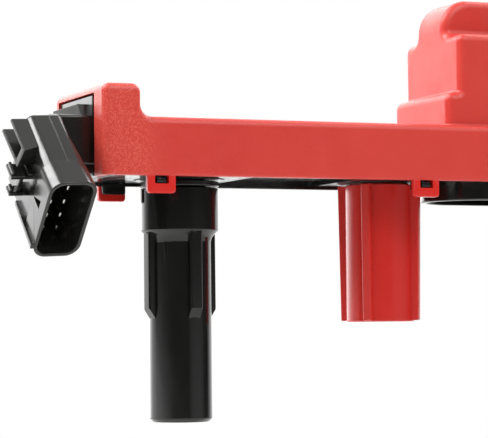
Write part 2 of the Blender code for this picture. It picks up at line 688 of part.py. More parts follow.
def plug_boot(name, x):
    bottom = BOOT_TOP - BOOT_LENGTH
    collar_bottom = BOOT_TOP - COLLAR_HEIGHT
    socket = TOWER_RADIUS + CLEARANCE
    shoulder = -TOWER_DEPTH - CLEARANCE
    boot = turned(
        [(COLLAR_RADIUS, BOOT_TOP), (COLLAR_RADIUS, collar_bottom), (BOOT_RADIUS, collar_bottom - COLLAR_CHAMFER),
         (BOOT_RADIUS, bottom + BOOT_TIP_CHAMFER), (BOOT_RADIUS - BOOT_TIP_CHAMFER, bottom),
         (BOOT_BORE_RADIUS, bottom), (BOOT_BORE_RADIUS, shoulder), (socket, shoulder), (socket, BOOT_TOP)],
        name, BLACK_RUBBER,
    )
    inner = (socket + BOOT_RADIUS) / 2
    outer = BOOT_RADIUS + FIN_REACH
    fin_top = collar_bottom - COLLAR_CHAMFER / 4
    fin_bottom = fin_top - FIN_LENGTH
    fin_outline = [(inner, fin_top), (inner, fin_bottom - FIN_RUNOUT), (BOOT_RADIUS, fin_bottom - FIN_RUNOUT),
                   (outer, fin_bottom), (outer, fin_top)]
    for i in range(FIN_COUNT):
        fin = outline_solid(fin_outline, FIN_THICKNESS, placed=STOOD_UP)
        fin.data.transform(Matrix.Rotation(math.tau * i / FIN_COUNT + FIN_TURN, 4, "Z"))
        fuse(boot, fin)
    key = block((-COLLAR_RADIUS - KEY_REACH, -KEY_WIDTH / 2, BOOT_TOP - KEY_HEIGHT),
                (-(socket + COLLAR_RADIUS) / 2, KEY_WIDTH / 2, BOOT_TOP))
    fuse(boot, key)
    boot.data.transform(Matrix.Translation((x, 0, 0)))
    return boot


def shell_placed():
    """From the connector's own frame, mouth at z = 0 facing down, to its tilted place on the left end."""
    mouth = Vector((LEFT_END - MOUTH_REACH, -MOUTH_FORWARD, -MOUTH_DROP))
    tilt = Matrix.Rotation(-CONNECTOR_TILT, 4, "X")
    yaw = Matrix.Rotation(-CONNECTOR_YAW, 4, "Y")
    twist = Matrix.Rotation(CONNECTOR_TWIST, 4, "Z")
    return Matrix.Translation(mouth) @ tilt @ yaw @ twist


def round_cornered(half_x, half_y, radius):
    far_x = half_x - radius
    far_y = half_y - radius
    points = []
    for x, y, start in ((far_x, far_y, 0), (-far_x, far_y, 90), (-far_x, -far_y, 180), (far_x, -far_y, 270)):
        points += arc((x, y), radius, start, start + 90, 4)
    return points


def tapered_box(bottom, bottom_size, top, top_size):
    """An upright round-cornered box; each size is half its width, half its depth and its corner radius."""
    shape = bmesh.new()
    lower = [shape.verts.new((x, y, bottom)) for x, y in round_cornered(*bottom_size)]
    upper = [shape.verts.new((x, y, top)) for x, y in round_cornered(*top_size)]
    shape.faces.new(lower[::-1])
    shape.faces.new(upper)
    for i in range(len(lower)):
        shape.faces.new((lower[i - 1], lower[i], upper[i], upper[i - 1]))
    return object_from_bmesh(shape, "tool")


def pin_places():
    for row in range(PIN_ROWS):
        for i in range(PINS_PER_ROW):
            yield (row - (PIN_ROWS - 1) / 2) * PIN_ROW_PITCH, (i - (PINS_PER_ROW - 1) / 2) * PIN_PITCH


def latch_plates(face):
    """Thin plates that stand out from the shell's outer face, tied in pairs, for the wiring plug's lock."""
    root = face + LATCH_THICKNESS
    places = [place for place, reach, low, high in LATCH_PLATES]
    plates = [block((face - reach, place, low), (root, place + LATCH_THICKNESS, high))
              for place, reach, low, high in LATCH_PLATES]
    inner_low = LATCH_PLATES[1][2] + LATCH_BAR / 2
    bar = block((face - LATCH_PLATES[0][1] + CLEARANCE, places[0] + LATCH_THICKNESS / 2, inner_low),
                (root, places[1] + LATCH_THICKNESS / 2, inner_low + LATCH_BAR))
    web_low = LATCH_PLATES[3][2] + LATCH_BAR / 2
    web = block((face - LATCH_WEB_REACH, places[2] + LATCH_THICKNESS / 2, web_low),
                (face - LATCH_WEB_REACH + LATCH_THICKNESS, places[3] + LATCH_THICKNESS / 2, web_low + 2 * LATCH_BAR))
    lips = []
    for place, reach, low, high in LATCH_PLATES[2:]:
        tip = face - reach
        lips.append(block((tip + LATCH_THICKNESS / 4, place - LATCH_LIP / 2, low + LATCH_BAR / 2),
                          (tip + LATCH_THICKNESS, place + LATCH_LIP / 2, high - LATCH_BAR / 2)))
    return [*plates, bar, web, *lips]


def connector_shell():
    half_x = SHELL_THICKNESS / 2
    half_y = SHELL_WIDTH / 2
    step_x = SHELL_STEP_THICKNESS / 2
    upper = (half_x, half_y, SHELL_ROUND)
    lower = (step_x, half_y, SHELL_ROUND)
    stepped = (step_x + MOUTH_STEP, half_y + MOUTH_STEP, SHELL_ROUND + MOUTH_STEP)
    mouth = (MOUTH_THICKNESS / 2, MOUTH_WIDTH / 2, MOUTH_ROUND)
    shell = tapered_box(MOUTH_LENGTH - 2 * CLEARANCE, lower, SHELL_LENGTH, upper)
    fuse(shell, tapered_box(0, mouth, MOUTH_LENGTH, stepped))
    fuse(shell, *latch_plates(-half_x))
    inner = (half_x - SHELL_WALL, half_y - SHELL_WALL, MOUTH_ROUND / 2)
    inner_mouth = tuple(size - SHELL_WALL for size in mouth)
    cut(shell, tapered_box(MOUTH_LENGTH / 2, inner, SHELL_CAVITY, inner))
    cut(shell, tapered_box(-OVERCUT, inner_mouth, MOUTH_LENGTH, inner))
    shell.data.transform(shell_placed())
    return shell


def pin_holes():
    half = PIN_SIZE / 2 + CLEARANCE
    for x, y in pin_places():
        hole = block((x - half, y - half, SHELL_CAVITY - OVERCUT),
                     (x + half, y + half, SHELL_CAVITY + PIN_ROOT_LENGTH + CLEARANCE))
        hole.data.transform(shell_placed())
        yield hole


def connector_pins():
    half = PIN_SIZE / 2
    for number, (x, y) in enumerate(pin_places(), start=1):
        pin = block((x - half, y - half, SHELL_CAVITY - PIN_FREE_LENGTH),
                    (x + half, y + half, SHELL_CAVITY + PIN_ROOT_LENGTH), f"connector_pin_{number}", TIN)
        pin.data.transform(shell_placed())


def connector_body():
    front = -HALF_DEPTH + PANEL_FRONT_MARGIN + CLEARANCE
    back = HALF_DEPTH - PANEL_BACK_MARGIN - CLEARANCE
    top = STEP_TOP - WALL - CLEARANCE
    inner = LEFT_END + WALL + CLEARANCE
    body = block((LEFT_END + PANEL_RECESS, front, CLEARANCE), (inner + PANEL_FLANGE / 2, back, top),
                 "connector_body", BLACK_PLASTIC)
    fuse(
        body,
        block((inner, front - PANEL_FLANGE_LIP, CLEARANCE), (inner + PANEL_FLANGE, back + PANEL_FLANGE_LIP, top)),
    )
    chamfer = COLLAR_BLOCK_TOP - NECK_TOP
    collar_outline = [
        (-COLLAR_BLOCK_FRONT, COLLAR_BLOCK_BOTTOM), (COLLAR_BLOCK_BACK, COLLAR_BLOCK_BOTTOM),
        (COLLAR_BLOCK_BACK, COLLAR_BLOCK_TOP), (-COLLAR_BLOCK_FRONT + chamfer, COLLAR_BLOCK_TOP),
        (-COLLAR_BLOCK_FRONT, NECK_TOP),
    ]
    collar_reach = COLLAR_BLOCK_REACH + PANEL_RECESS + WALL / 2
    turned_to_x = Matrix.Rotation(math.radians(90), 4, "Z") @ STOOD_UP
    collar_x = LEFT_END - COLLAR_BLOCK_REACH + collar_reach / 2
    fuse(body, outline_solid(collar_outline, collar_reach, placed=Matrix.Translation((collar_x, 0, 0)) @ turned_to_x))
    neck_left = LEFT_END - MOUTH_REACH
    fuse(body, block((neck_left, -NECK_FRONT, NECK_BOTTOM), (LEFT_END + WALL / 2, NECK_BACK, NECK_TOP)))
    fuse(body, connector_shell())
    cut(body, *pin_holes())
    return body


def circuit_board():
    return block((-BOARD_LENGTH / 2, -BOARD_DEPTH / 2, BOARD_BOTTOM), (BOARD_LENGTH / 2, BOARD_DEPTH / 2, BOARD_TOP),
                 "circuit_board", BOARD)


def lead_ribbon():
    """One flat ribbon of leads from the connector panel, under the board's back edge, to the far coil."""
    left = LEFT_END + WALL + PANEL_FLANGE + 2 * CLEARANCE
    right = PLUG_XS[-1] + TOWER_RADIUS
    front = BOARD_DEPTH / 2 - BOARD_POST_RADIUS + CLEARANCE
    return block((left, front, LEAD_TOP - LEAD_THICKNESS), (right, front + LEAD_WIDTH, LEAD_TOP),
                 "lead_ribbon", TIN)


def transformer_core():
    bottom = BOARD_TOP + CLEARANCE
    half_x = TRANSFORMER_LENGTH / 2
    half_y = TRANSFORMER_DEPTH / 2
    core = block((TRANSFORMER_X - half_x, -half_y, bottom),
                 (TRANSFORMER_X + half_x, half_y, bottom + TRANSFORMER_HEIGHT), "transformer_core", FERRITE)
    for side in (-1, 1):
        xs = sorted((TRANSFORMER_X + side * TRANSFORMER_LEG, TRANSFORMER_X + side * (half_x - TRANSFORMER_LEG)))
        cut(core, block((xs[0], -HALF_DEPTH, bottom + TRANSFORMER_LEG),
                        (xs[1], HALF_DEPTH, bottom + TRANSFORMER_HEIGHT - TRANSFORMER_LEG)))
    return core


def transformer_winding():
    bottom = BOARD_TOP + 2 * CLEARANCE + TRANSFORMER_LEG
    top = BOARD_TOP + TRANSFORMER_HEIGHT - TRANSFORMER_LEG
    inner_x = TRANSFORMER_LEG + CLEARANCE
    inner_y = TRANSFORMER_DEPTH / 2 + CLEARANCE
    outer_x = TRANSFORMER_LENGTH / 2 - TRANSFORMER_LEG - CLEARANCE
    outer_y = inner_y + WINDING_BUILD
    winding = block((TRANSFORMER_X - outer_x, -outer_y, bottom), (TRANSFORMER_X + outer_x, outer_y, top),
                    "transformer_winding", COPPER, vertical_round=WINDING_BUILD / 2)
    cut(winding, block((TRANSFORMER_X - inner_x, -inner_y, bottom - OVERCUT),
                       (TRANSFORMER_X + inner_x, inner_y, top + OVERCUT)))
    return winding


def storage_capacitor():
    bottom = BOARD_TOP + CLEARANCE
    half_x = CAPACITOR_LENGTH / 2
    half_y = CAPACITOR_DEPTH / 2
    return block((CAPACITOR_X - half_x, -half_y, bottom), (CAPACITOR_X + half_x, half_y, bottom + CAPACITOR_HEIGHT),
                 "storage_capacitor", FILM, edge_round=CAPACITOR_ROUND)


def power_module():
    bottom = BOARD_TOP + CLEARANCE
    right = BOARD_LENGTH / 2 - POWER_MODULE_END_GAP
    return block((right - POWER_MODULE_LENGTH, -POWER_MODULE_DEPTH / 2, bottom),
                 (right, POWER_MODULE_DEPTH / 2, bottom + POWER_MODULE_HEIGHT),
                 "power_module", BLACK_PLASTIC, edge_round=CAPACITOR_ROUND / 2)


def build():
    top_cover()
    base_plate()
    connector_body()
    connector_pins()
    for side, x in PILLAR_XS.items():
        mounting_pillar(f"mounting_pillar_{side}", x)
        bolt_sleeve(f"bolt_sleeve_{side}", x)
    coil_pieces = (coil_tower, coil_lid, coil_core, primary_winding, secondary_winding,
                   high_tension_terminal, contact_spring, contact_cap, plug_boot)
    for number, x in enumerate(PLUG_XS, start=1):
        for piece in coil_pieces:
            piece(f"{piece.__name__}_{number}", x)
    print_spring_gap()
    circuit_board()
    lead_ribbon()
    transformer_core()
    transformer_winding()
    storage_capacitor()
    power_module()
    for obj in PARTS.objects:
        if obj is not FRAME:
            obj.parent = FRAME


build()
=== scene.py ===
import json
import math

import bmesh
import bpy
from mathutils import Matrix, Vector


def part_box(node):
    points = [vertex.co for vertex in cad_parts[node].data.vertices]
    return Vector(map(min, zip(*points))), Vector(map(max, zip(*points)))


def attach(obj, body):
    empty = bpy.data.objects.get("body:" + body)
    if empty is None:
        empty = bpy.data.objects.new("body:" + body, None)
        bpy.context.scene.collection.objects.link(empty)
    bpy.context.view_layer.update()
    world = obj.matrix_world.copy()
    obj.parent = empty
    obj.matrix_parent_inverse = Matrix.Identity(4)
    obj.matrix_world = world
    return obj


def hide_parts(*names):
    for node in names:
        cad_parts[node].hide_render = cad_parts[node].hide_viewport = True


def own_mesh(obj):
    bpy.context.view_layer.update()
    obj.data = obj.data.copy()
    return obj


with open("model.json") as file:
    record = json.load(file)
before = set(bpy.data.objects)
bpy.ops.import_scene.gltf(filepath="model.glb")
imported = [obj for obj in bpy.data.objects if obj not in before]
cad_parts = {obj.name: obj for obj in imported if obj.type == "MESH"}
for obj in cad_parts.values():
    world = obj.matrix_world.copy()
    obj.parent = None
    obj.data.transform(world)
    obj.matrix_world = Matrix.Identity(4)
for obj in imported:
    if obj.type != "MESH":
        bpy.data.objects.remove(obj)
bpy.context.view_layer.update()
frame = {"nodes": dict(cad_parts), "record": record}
CAD = frame["nodes"]
BOTH_SIDES = (-1, 1)
X, Y, Z = range(3)

# Sizes are in metres. Heights are above the cover's lower edge, which is COVER_EDGE above the pillars' feet.
COVER_EDGE = 0.0369
WALL = 0.0020
CLEARANCE = 0.0003
OVERCUT = 0.001
WELD = 0.000001
NEAR = 0.00002
SOFT_EASE = 0.0004
EASE = 0.0003
FINE_EASE = 0.0002
SMOOTH_ANGLE = math.radians(32)

# Cover
HALF_LENGTH = 0.1833
HALF_DEPTH = 0.01985
COVER_ROUND = 0.0021
COVER_LIP_ROUND = 0.0005
BAR_TOP = 0.01485
STEP_TOP = 0.02305
STEP_END = -0.1731
STEP_ROUND = 0.0024
STEP_HOLLOW = 0.0029
HUMP_END = 0.0820
HUMP_SPACE_END = 0.0805
HUMP_SIDE = 0.01625
HUMP_TOP = 0.03985
HUMP_LOW = BAR_TOP / 2
HUMP_ROUND = 0.0023
HUMP_FOOT_HOLLOW = 0.0007
PLINTH_OVERHANG = 0.0036
PLINTH_SPACE_END = 0.0835
PLINTH_TOP = 0.02395
PLINTH_HOLLOW = 0.0009
CROWN_FRONT = -0.00695
CROWN_BACK = 0.00935
CROWN_TOP = 0.05015
CROWN_ARC = 0.0080
CROWN_HOLLOW = 0.0022
CROWN_SPACE_LOW = HUMP_TOP - 0.010
CROWN_SPACE_ARC = 0.0068
LOOP_XS = (-0.1681, -0.0942, 0.0, 0.0942, 0.1681)
LOOP_HALF = 0.00375
LOOP_DROP = 0.00445
LOOP_THICK = 0.0018
LOOP_ROOT = 0.0016
LOOP_ROUND = 0.0009
WINDOW_HALF = 0.00185
WINDOW_DROP = 0.00205

# Boots
PLUGS = {1: -0.156, 2: -0.052, 3: 0.052, 4: 0.156}
BOOT_TOP = -0.0020
BOOT_TIP = BOOT_TOP - 0.0602
BOOT_SHOULDER = -0.0363
COLLAR_RADIUS = 0.0101
COLLAR_LOW = BOOT_TOP - 0.0109
TAPER_LOW = BOOT_TOP - 0.0129
TAPER_HOLLOW = 0.0030
TUBE_RADIUS = 0.0081
TIP_RADIUS = 0.0072
TIP_TAPER = 0.0009
TIP_ROUND = 0.0005
PLUG_BORE = 0.0050
TOWER_SPACE = 0.0071
FINS = 4
FIN_TURN = math.radians(6)
FIN_TOP = BOOT_TOP - 0.0114
FIN_LOW = FIN_TOP - 0.0229
FIN_ROOT = 0.0075
FIN_REACH = 0.0097
FIN_HALF = 0.00165
FIN_SLANT = 0.0033
KEY_ROOT = -0.0086
KEY_REACH = -0.0105
KEY_HALF = 0.0006
KEY_LOW = BOOT_TOP - 0.0038

# Pillars and their sleeves
PILLARS = {"left": -0.0985, "right": 0.0985}
PILLAR_TOP = -CLEARANCE
PILLAR_FOOT = -COVER_EDGE
PILLAR_RADIUS = 0.0091
PILLAR_NECK = 0.0076
PILLAR_NECK_TOP = 0.0075
RIBS = 4
RIB_ROOT = 0.0075
RIB_REACH = 0.0115
RIB_HALF = 0.0012
RIB_DRAFT = 0.0006
SLEEVE_HOLE = 0.0059
SLEEVE_RADIUS = 0.0056
SLEEVE_BORE = 0.0043

# Coils
TOWER_RADIUS = 0.0068
TOWER_BORE = 0.0059
TOWER_TOP = 0.0088
TOWER_FLOOR = -0.0338
TOWER_LOW = -0.0360
TOWER_ROUND = 0.0005
FLANGE_RADIUS = 0.0103
FLANGE_TOP = -0.0003
FLANGE_LOW = -0.0017
LID_TOP = 0.0109
LID_SEAT = 0.0091
LID_LOW = 0.0071
LID_PLUG = 0.0056
COIL_TOP = 0.0068
COIL_LOW = -0.0325
CORE_RADIUS = 0.0019
LOW_WINDING = (0.0022, 0.0031)
LOW_WINDING_INSET = 0.0012
LOW_TURNS = 46
HIGH_WINDING = (0.0034, 0.0056)
HIGH_SECTIONS = 12
BULGE = 0.0003
TERMINAL_HOLE = 0.0016
STEM_RADIUS = 0.0013
HEAD_RADIUS = 0.0027
HEAD_TOP = -0.0328
HEAD_LOW = -0.0335
WASHER_TOP = -0.0363
WASHER_LOW = -0.0370
STEM_TIP = -0.0384
CAP_RADIUS = 0.0034
CAP_STEM_TOP = -0.0460
CAP_TOP = -0.0474
CAP_LOW = -0.0509
CUP_RADIUS = 0.0025
CUP_FLOOR = -0.0488
SPRING_WIRE = 0.0004
SPRING_TURNS = 5

# Connector: panel, collar and neck on the cover's end, then the shell in its own frame, mouth down at zero
PANEL_FRONT = -0.01205
PANEL_BACK = 0.01615
PANEL_SINK = 0.0005
PANEL_STEP = 0.0026
PANEL_THICK = 0.0018
PANEL_LIP = 0.0012
SOCKET_COLLAR_LOW = (-HALF_LENGTH - 0.0027, -0.0095, 0.0008)
SOCKET_COLLAR_HIGH = (0.0015 - HALF_LENGTH, 0.0130, 0.0186)
SOCKET_COLLAR_CHAMFER = 0.0030
NECK_LOW = (-HALF_LENGTH - 0.0108, -0.0105, 0.0030)
NECK_HIGH = (0.0010 - HALF_LENGTH, 0.0020, 0.0156)
NECK_ROUND = 0.0008
SHELL_PLACE = (-HALF_LENGTH - 0.0108, -0.0220, -0.0116)
SHELL_TILT = math.radians(-45)
SHELL_YAW = math.radians(-4)
SHELL_TWIST = math.radians(0.5)
SHELL_FACE = -0.0052
SHELL_LOW = 0.0079
SHELL_TOP = 0.0276
SHELL_SIZE = (0.0114, 0.0230)
SHELL_TOP_SIZE = (0.0104, 0.0230)
SHELL_CORNER = 0.0027
SHELL_ROUND = 0.0018
MOUTH_TOP = 0.0085
MOUTH_SIZE = (0.0124, 0.0244)
MOUTH_TOP_SIZE = (0.0121, 0.0237)
MOUTH_CORNER = 0.0037
MOUTH_TOP_EASE = 0.00015
MOUTH_LIP_EASE = 0.00032
SEAM_LOW = (0.0006, -0.0117, 0.0080)
SEAM_HIGH = (0.0009, -0.0110, 0.0260)
SEAM_EASE = 0.0001
NOTCH_LOW = (-0.0070, -0.0034, 0.0034)
NOTCH_HIGH = (-0.0051, -0.0008, 0.0078)
NOTCH_SLANT = 0.0023
LEDGE_ROOT = 0.0010
CAVITY_LOW = 0.0042
CAVITY_TOP = 0.0190
CAVITY_SIZE = (0.0084, 0.0210)
CAVITY_CORNER = 0.0018
LEAD_IN_SIZE = (0.0107, 0.0227)
LEAD_IN_CORNER = 0.0030
PIN_ROWS = (-0.0018, 0.0018)
PIN_PITCH = 0.0044
PIN_TIP = 0.0068
PIN_ROOT = 0.0230
PIN_HALF_THICK = 0.00028
PIN_HALF_WIDE = 0.0006
PIN_EDGE_EASE = 0.0001
PIN_TIP_EASE = 0.00008
PIN_HOLE_LOW = 0.0180
PIN_HOLE_TOP = 0.0233
PIN_HOLE_HALF = 0.0008

# Base
BASE_LEFT = -0.1789
BASE_RIGHT = 0.1810
BASE_SIDE = HALF_DEPTH - WALL - CLEARANCE
BASE_LOW = 0.0002
BASE_TOP = 0.0028
POCKET_NEAR = 0.1114
POCKET_FAR = 0.1415
POCKET_SIDE = 0.0155
POCKET_TOP = 0.0014
POCKET_CORNER = 0.0012
BACK_RIM_LOW = (-0.1780, 0.0160, -0.0006)
BACK_RIM_HIGH = (0.1800, BASE_SIDE, 0.0012)
TRAY_HALF_LENGTH = 0.0843
TRAY_HALF_WIDTH = 0.0142
TRAY_WALL = 0.0018
TRAY_LOW = -0.0046
BOSS_TOP = 0.0015
TOWER_BOSS = 0.0118
TOWER_HOLE = 0.0071
PILLAR_BOSS = 0.0115
PILLAR_HOLE = 0.0079
POST_XS = (-0.070, 0, 0.070)
POST_YS = (-0.00845, 0.00845)
POST_TOP = 0.01225
POST_RADIUS = 0.0020
CATCH_FACE = HALF_DEPTH - 0.0021
CATCH_THICK = 0.0013
CATCH_HALF = 0.0032
CATCH_LOW = -0.0027
CATCH_ROUND = 0.0006
HANGER_HALF = 0.00155
HANGER_FRONT = 0.01725
HANGER_BACK = 0.01605
HANGER_LOW = -0.0010
NUB_HALF = 0.00125
NUB_ROOT = CATCH_FACE - 0.0012
NUB_LOW = -0.00175
NUB_TOP = -0.0006

# Electronics
LEADS = 4
GROOVE_HALF = 0.00015
GROOVE_DEPTH = 0.0004
CORE_LEG = 0.0050
PACK_CORNER = 0.0030
PACK_TURNS = 12
PACK_BULGE = 0.00018

# Studio
FLOOR_LEVEL = -0.115
FLOOR_RADIUS = 1.25
CAMERA_PLACE = (-0.36279, -0.54245, -0.00149)
CAMERA_YAW = math.radians(22.52)
CAMERA_PITCH = math.radians(2.8)
CAMERA_ROLL = math.radians(-0.57)
CAMERA_LENS = 165.29


# Modelling helpers


def only(piece):
    """Leaves this piece as the only one selected, and active."""
    bpy.ops.object.select_all(action="DESELECT")
    piece.select_set(True)
    bpy.context.view_layer.objects.active = piece
    return piece


def discard(piece):
    bpy.data.objects.remove(piece, do_unlink=True)


def finish_modifier(piece, kind, **settings):
    """Adds a modifier with these settings to a piece and applies it."""
    only(piece)
    modifier = piece.modifiers.new(kind.lower(), kind)
    for name, value in settings.items():
        setattr(modifier, name, value)
    bpy.ops.object.modifier_apply(modifier=modifier.name)
    return piece


def settle(piece):
    """Puts a piece's place, turn and size into its mesh."""
    only(piece)
    bpy.ops.object.transform_apply(location=True, rotation=True, scale=True)
    return piece


def moved(piece, place, turn=0.0):
    """Turns a piece about the upright axis through the origin, then moves it."""
    piece.rotation_euler = (0, 0, turn)
    piece.location = place
    return settle(piece)


def block(low, high, name="tool"):
    """A cube added at its size and place."""
    low = Vector(low)
    high = Vector(high)
    bpy.ops.mesh.primitive_cube_add(size=1, location=(low + high) / 2)
    piece = bpy.context.object
    piece.name = name
    piece.scale = high - low
    return settle(piece)


def centred(half_length, half_width, low, high, name="tool"):
    """A block with its middle on the upright axis."""
    return block((-half_length, -half_width, low), (half_length, half_width, high), name)


def rod(x, y, bottom, top, radius, sides=64):
    """A round bar added at its size and place."""
    bpy.ops.mesh.primitive_cylinder_add(vertices=sides, radius=radius, depth=top - bottom,
                                        location=(x, y, (bottom + top) / 2))
    return settle(bpy.context.object)


def edit(piece, mode):
    """Opens a piece in edit mode with nothing selected."""
    only(piece)
    bpy.ops.object.mode_set(mode="EDIT")
    bpy.ops.mesh.select_mode(type=mode)
    bpy.ops.mesh.select_all(action="DESELECT")
    return bmesh.from_edit_mesh(piece.data)


def close_edit(piece):
    bpy.ops.object.mode_set(mode="OBJECT")
    return piece


def pick(piece, mode, chosen):
    """Opens a piece in edit mode with the vertices, edges or faces selected that pass a test."""
    shape = edit(piece, mode)
    for item in {"VERT": shape.verts, "EDGE": shape.edges, "FACE": shape.faces}[mode]:
        if chosen(item):
            item.select_set(True)
    shape.select_flush_mode()
    bmesh.update_edit_mesh(piece.data)


def push(piece, chosen, step):
    """Moves the vertices that pass a test."""
    pick(piece, "VERT", chosen)
    bpy.ops.transform.translate(value=step)
    return close_edit(piece)


def draw_out(piece, chosen, step):
    """Extrudes the faces that pass a test."""
    pick(piece, "FACE", chosen)
    bpy.ops.mesh.extrude_region_move(TRANSFORM_OT_translate={"value": step})
    return close_edit(piece)


def round_edges(piece, chosen, radius, segments=5):
    """Bevels the edges that pass a test."""
    pick(piece, "EDGE", chosen)
    bpy.ops.mesh.bevel(offset=radius, segments=segments, affect="EDGES")
    return close_edit(piece)


def divide(piece, point, normal):
    """Cuts a piece's faces along a plane and keeps both sides."""
    edit(piece, "FACE")
    bpy.ops.mesh.select_all(action="SELECT")
    bpy.ops.mesh.bisect(plane_co=point, plane_no=normal)
    return close_edit(piece)


def merge_doubles():
    """Selects all of the piece in edit mode and merges what lies in one place."""
    bpy.ops.mesh.select_all(action="SELECT")
    bpy.ops.mesh.remove_doubles(threshold=WELD)


def clean(piece):
    """Merges doubles and flat neighbours, and turns the faces outward."""
    edit(piece, "FACE")
    merge_doubles()
    bpy.ops.mesh.dissolve_limited(angle_limit=math.radians(0.5))
    bpy.ops.mesh.normals_make_consistent(inside=False)
    return close_edit(piece)


def middle(edge):
    return (edge.verts[0].co + edge.verts[1].co) / 2


def near(value, *targets):
    return any(abs(value - target) < NEAR for target in targets)


def runs_along(edge, axis):
    run = edge.verts[1].co - edge.verts[0].co
    return abs(run[axis]) > 0.95 * run.length


def is_upright(edge):
    return runs_along(edge, Z)


def faces(face, axis, way=1):
    return face.normal[axis] * way > 0.9


def is_sharp(edge):
    return len(edge.link_faces) == 2 and edge.calc_face_angle() > math.radians(50)


def is_outer_corner(edge):
    return is_sharp(edge) and edge.is_convex


def is_inner_corner(edge):
    return is_sharp(edge) and not edge.is_convex


def sharp_at(axis, value):
    """A test for sharp edges at one place along an axis."""
    return lambda edge: is_sharp(edge) and near(middle(edge)[axis], value)


def across_at(height):
    """A test for edges that run from front to back at a height."""
    return lambda edge: runs_along(edge, Y) and near(middle(edge).z, height)


def span(side, first, second):
    """Two distances from the middle, on one side of it, lowest first."""
    return sorted((side * first, side * second))


def combine(piece, tools, how):
    """Joins tools to a piece or cuts them out of it, and merges what meets."""
    for tool in tools:
        finish_modifier(piece, "BOOLEAN", object=tool, operation=how, solver="EXACT")
        discard(tool)
        edit(piece, "VERT")
        merge_doubles()
        bpy.ops.mesh.dissolve_degenerate(threshold=WELD)
        close_edit(piece)
    return piece


def fuse(piece, *tools):
    return combine(piece, tools, "UNION")


def cut(piece, *tools):
    return combine(piece, tools, "DIFFERENCE")


def together(tools):
    """Joins pieces that don't touch into one object."""
    tools = list(tools)
    only(tools[0])
    for tool in tools:
        tool.select_set(True)
    bpy.ops.object.join()
    return bpy.context.object


def copied(piece, name):
    """A copy of a piece with its own mesh."""
    only(piece)
    bpy.ops.object.duplicate(linked=False)
    bpy.context.object.name = name
    return bpy.context.object


def fuse_around(piece, tool, count, first_turn):
    """Joins copies of a tool to a piece, evenly spaced around the upright axis."""
    for i in range(count):
        fuse(piece, moved(copied(tool, "tool"), (0, 0, 0), math.tau * i / count + first_turn))
    discard(tool)


def eased(corners, steps=4):
    """A profile through (radius, height, rounding) corners, each rounded by its own amount."""
    points = []
    for i, (radius, height, rounding) in enumerate(corners):
        corner = Vector((radius, height))
        if not rounding:
            points.append(corner)
            continue
        before = (Vector(corners[i - 1][:2]) - corner).normalized()
        after = (Vector(corners[(i + 1) % len(corners)][:2]) - corner).normalized()
        half_angle = before.angle(after) / 2
        centre = corner + (before + after).normalized() * rounding / math.sin(half_angle)
        start = corner + before * rounding / math.tan(half_angle) - centre
        end = corner + after * rounding / math.tan(half_angle) - centre
        for step in range(steps + 1):
            points.append(centre + start.lerp(end, step / steps).normalized() * rounding)
    return points


def turned(corners, name, steps, closed=True):
    """A turned piece on the upright axis: a point is drawn along the profile, and the line is spun round."""
    profile = eased(corners)
    ends = profile[1:] + profile[:1] if closed else profile[1:]
    bpy.ops.mesh.primitive_plane_add(size=WELD, location=(profile[0].x, 0, profile[0].y))
    piece = settle(bpy.context.object)
    piece.name = name
    edit(piece, "VERT")
    bpy.ops.mesh.select_all(action="SELECT")
    bpy.ops.mesh.merge(type="CENTER")
    for here, there in zip(profile, ends):
        step = (there.x - here.x, 0, there.y - here.y)
        bpy.ops.mesh.extrude_region_move(TRANSFORM_OT_translate={"value": step})
    merge_doubles()
    bpy.ops.mesh.spin(steps=steps, angle=math.tau, center=(0, 0, 0), axis=(0, 0, 1))
    merge_doubles()
    bpy.ops.mesh.normals_make_consistent(inside=False)
    return close_edit(piece)


def dress(piece, finish):
    """Gives a piece its finish."""
    piece.data.materials.clear()
    piece.data.materials.append(finish)


def hand_over(piece, slot, node, body="cassette", finish=None):
    """Lifts a finished piece from the cover's edge level, smooths and dresses it, and sets it on its body."""
    moved(piece, (0, 0, COVER_EDGE))
    finish_modifier(piece, "TRIANGULATE", keep_custom_normals=False, min_vertices=5)
    only(piece)
    bpy.ops.object.shade_smooth_by_angle(angle=SMOOTH_ANGLE)
    finish_modifier(piece, "WEIGHTED_NORMAL", keep_sharp=True)
    dress(piece, finish or FINISHES[slot])
    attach(piece, body)
    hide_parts(node)


def hand_over_row(piece, places, name, slot, node, body=None):
    """Hands over copies of one piece at the plugs or pillars, each on its own body or on the cassette."""
    for mark, x in places.items():
        copy = moved(copied(piece, f"{name}_{mark}"), (x, 0, 0))
        hand_over(copy, slot, f"{node}_{mark}", f"{body}_{mark}" if body else "cassette")
    discard(piece)


# Finishes


def new_finish(name, **sockets):
    """A material with its Principled shader's fixed values set."""
    made = bpy.data.materials.new(name)
    made.use_nodes = True
    shader = made.node_tree.nodes["Principled BSDF"]
    for socket, value in sockets.items():
        shader.inputs[socket.replace("_", " ")].default_value = value
    return made


def add_node(owner, kind, **values):
    """Adds a shader node to a material or the world.

    A value is set on the input of that name, or of that number after a letter, or else on the node itself.
    A source, which is a tuple (node, output), links the input instead.
    """
    tree = owner.node_tree
    made = tree.nodes.new("ShaderNode" + kind)
    for name, value in values.items():
        socket = made.inputs[int(name[1:])] if name[1:].isdigit() else made.inputs.get(name.replace("_", " "))
        if socket is None:
            setattr(made, name, value)
        elif isinstance(value, tuple) and isinstance(value[0], bpy.types.Node):
            tree.links.new(value[0].outputs[value[1]], socket)
        else:
            socket.default_value = value
    return made


def calculate(owner, operation, *values):
    """A sum, product, comparison or the like of two or three numbers or sources."""
    inputs = {f"i{n}": value for n, value in enumerate(values)}
    return add_node(owner, "Math", operation=operation, **inputs), "Value"


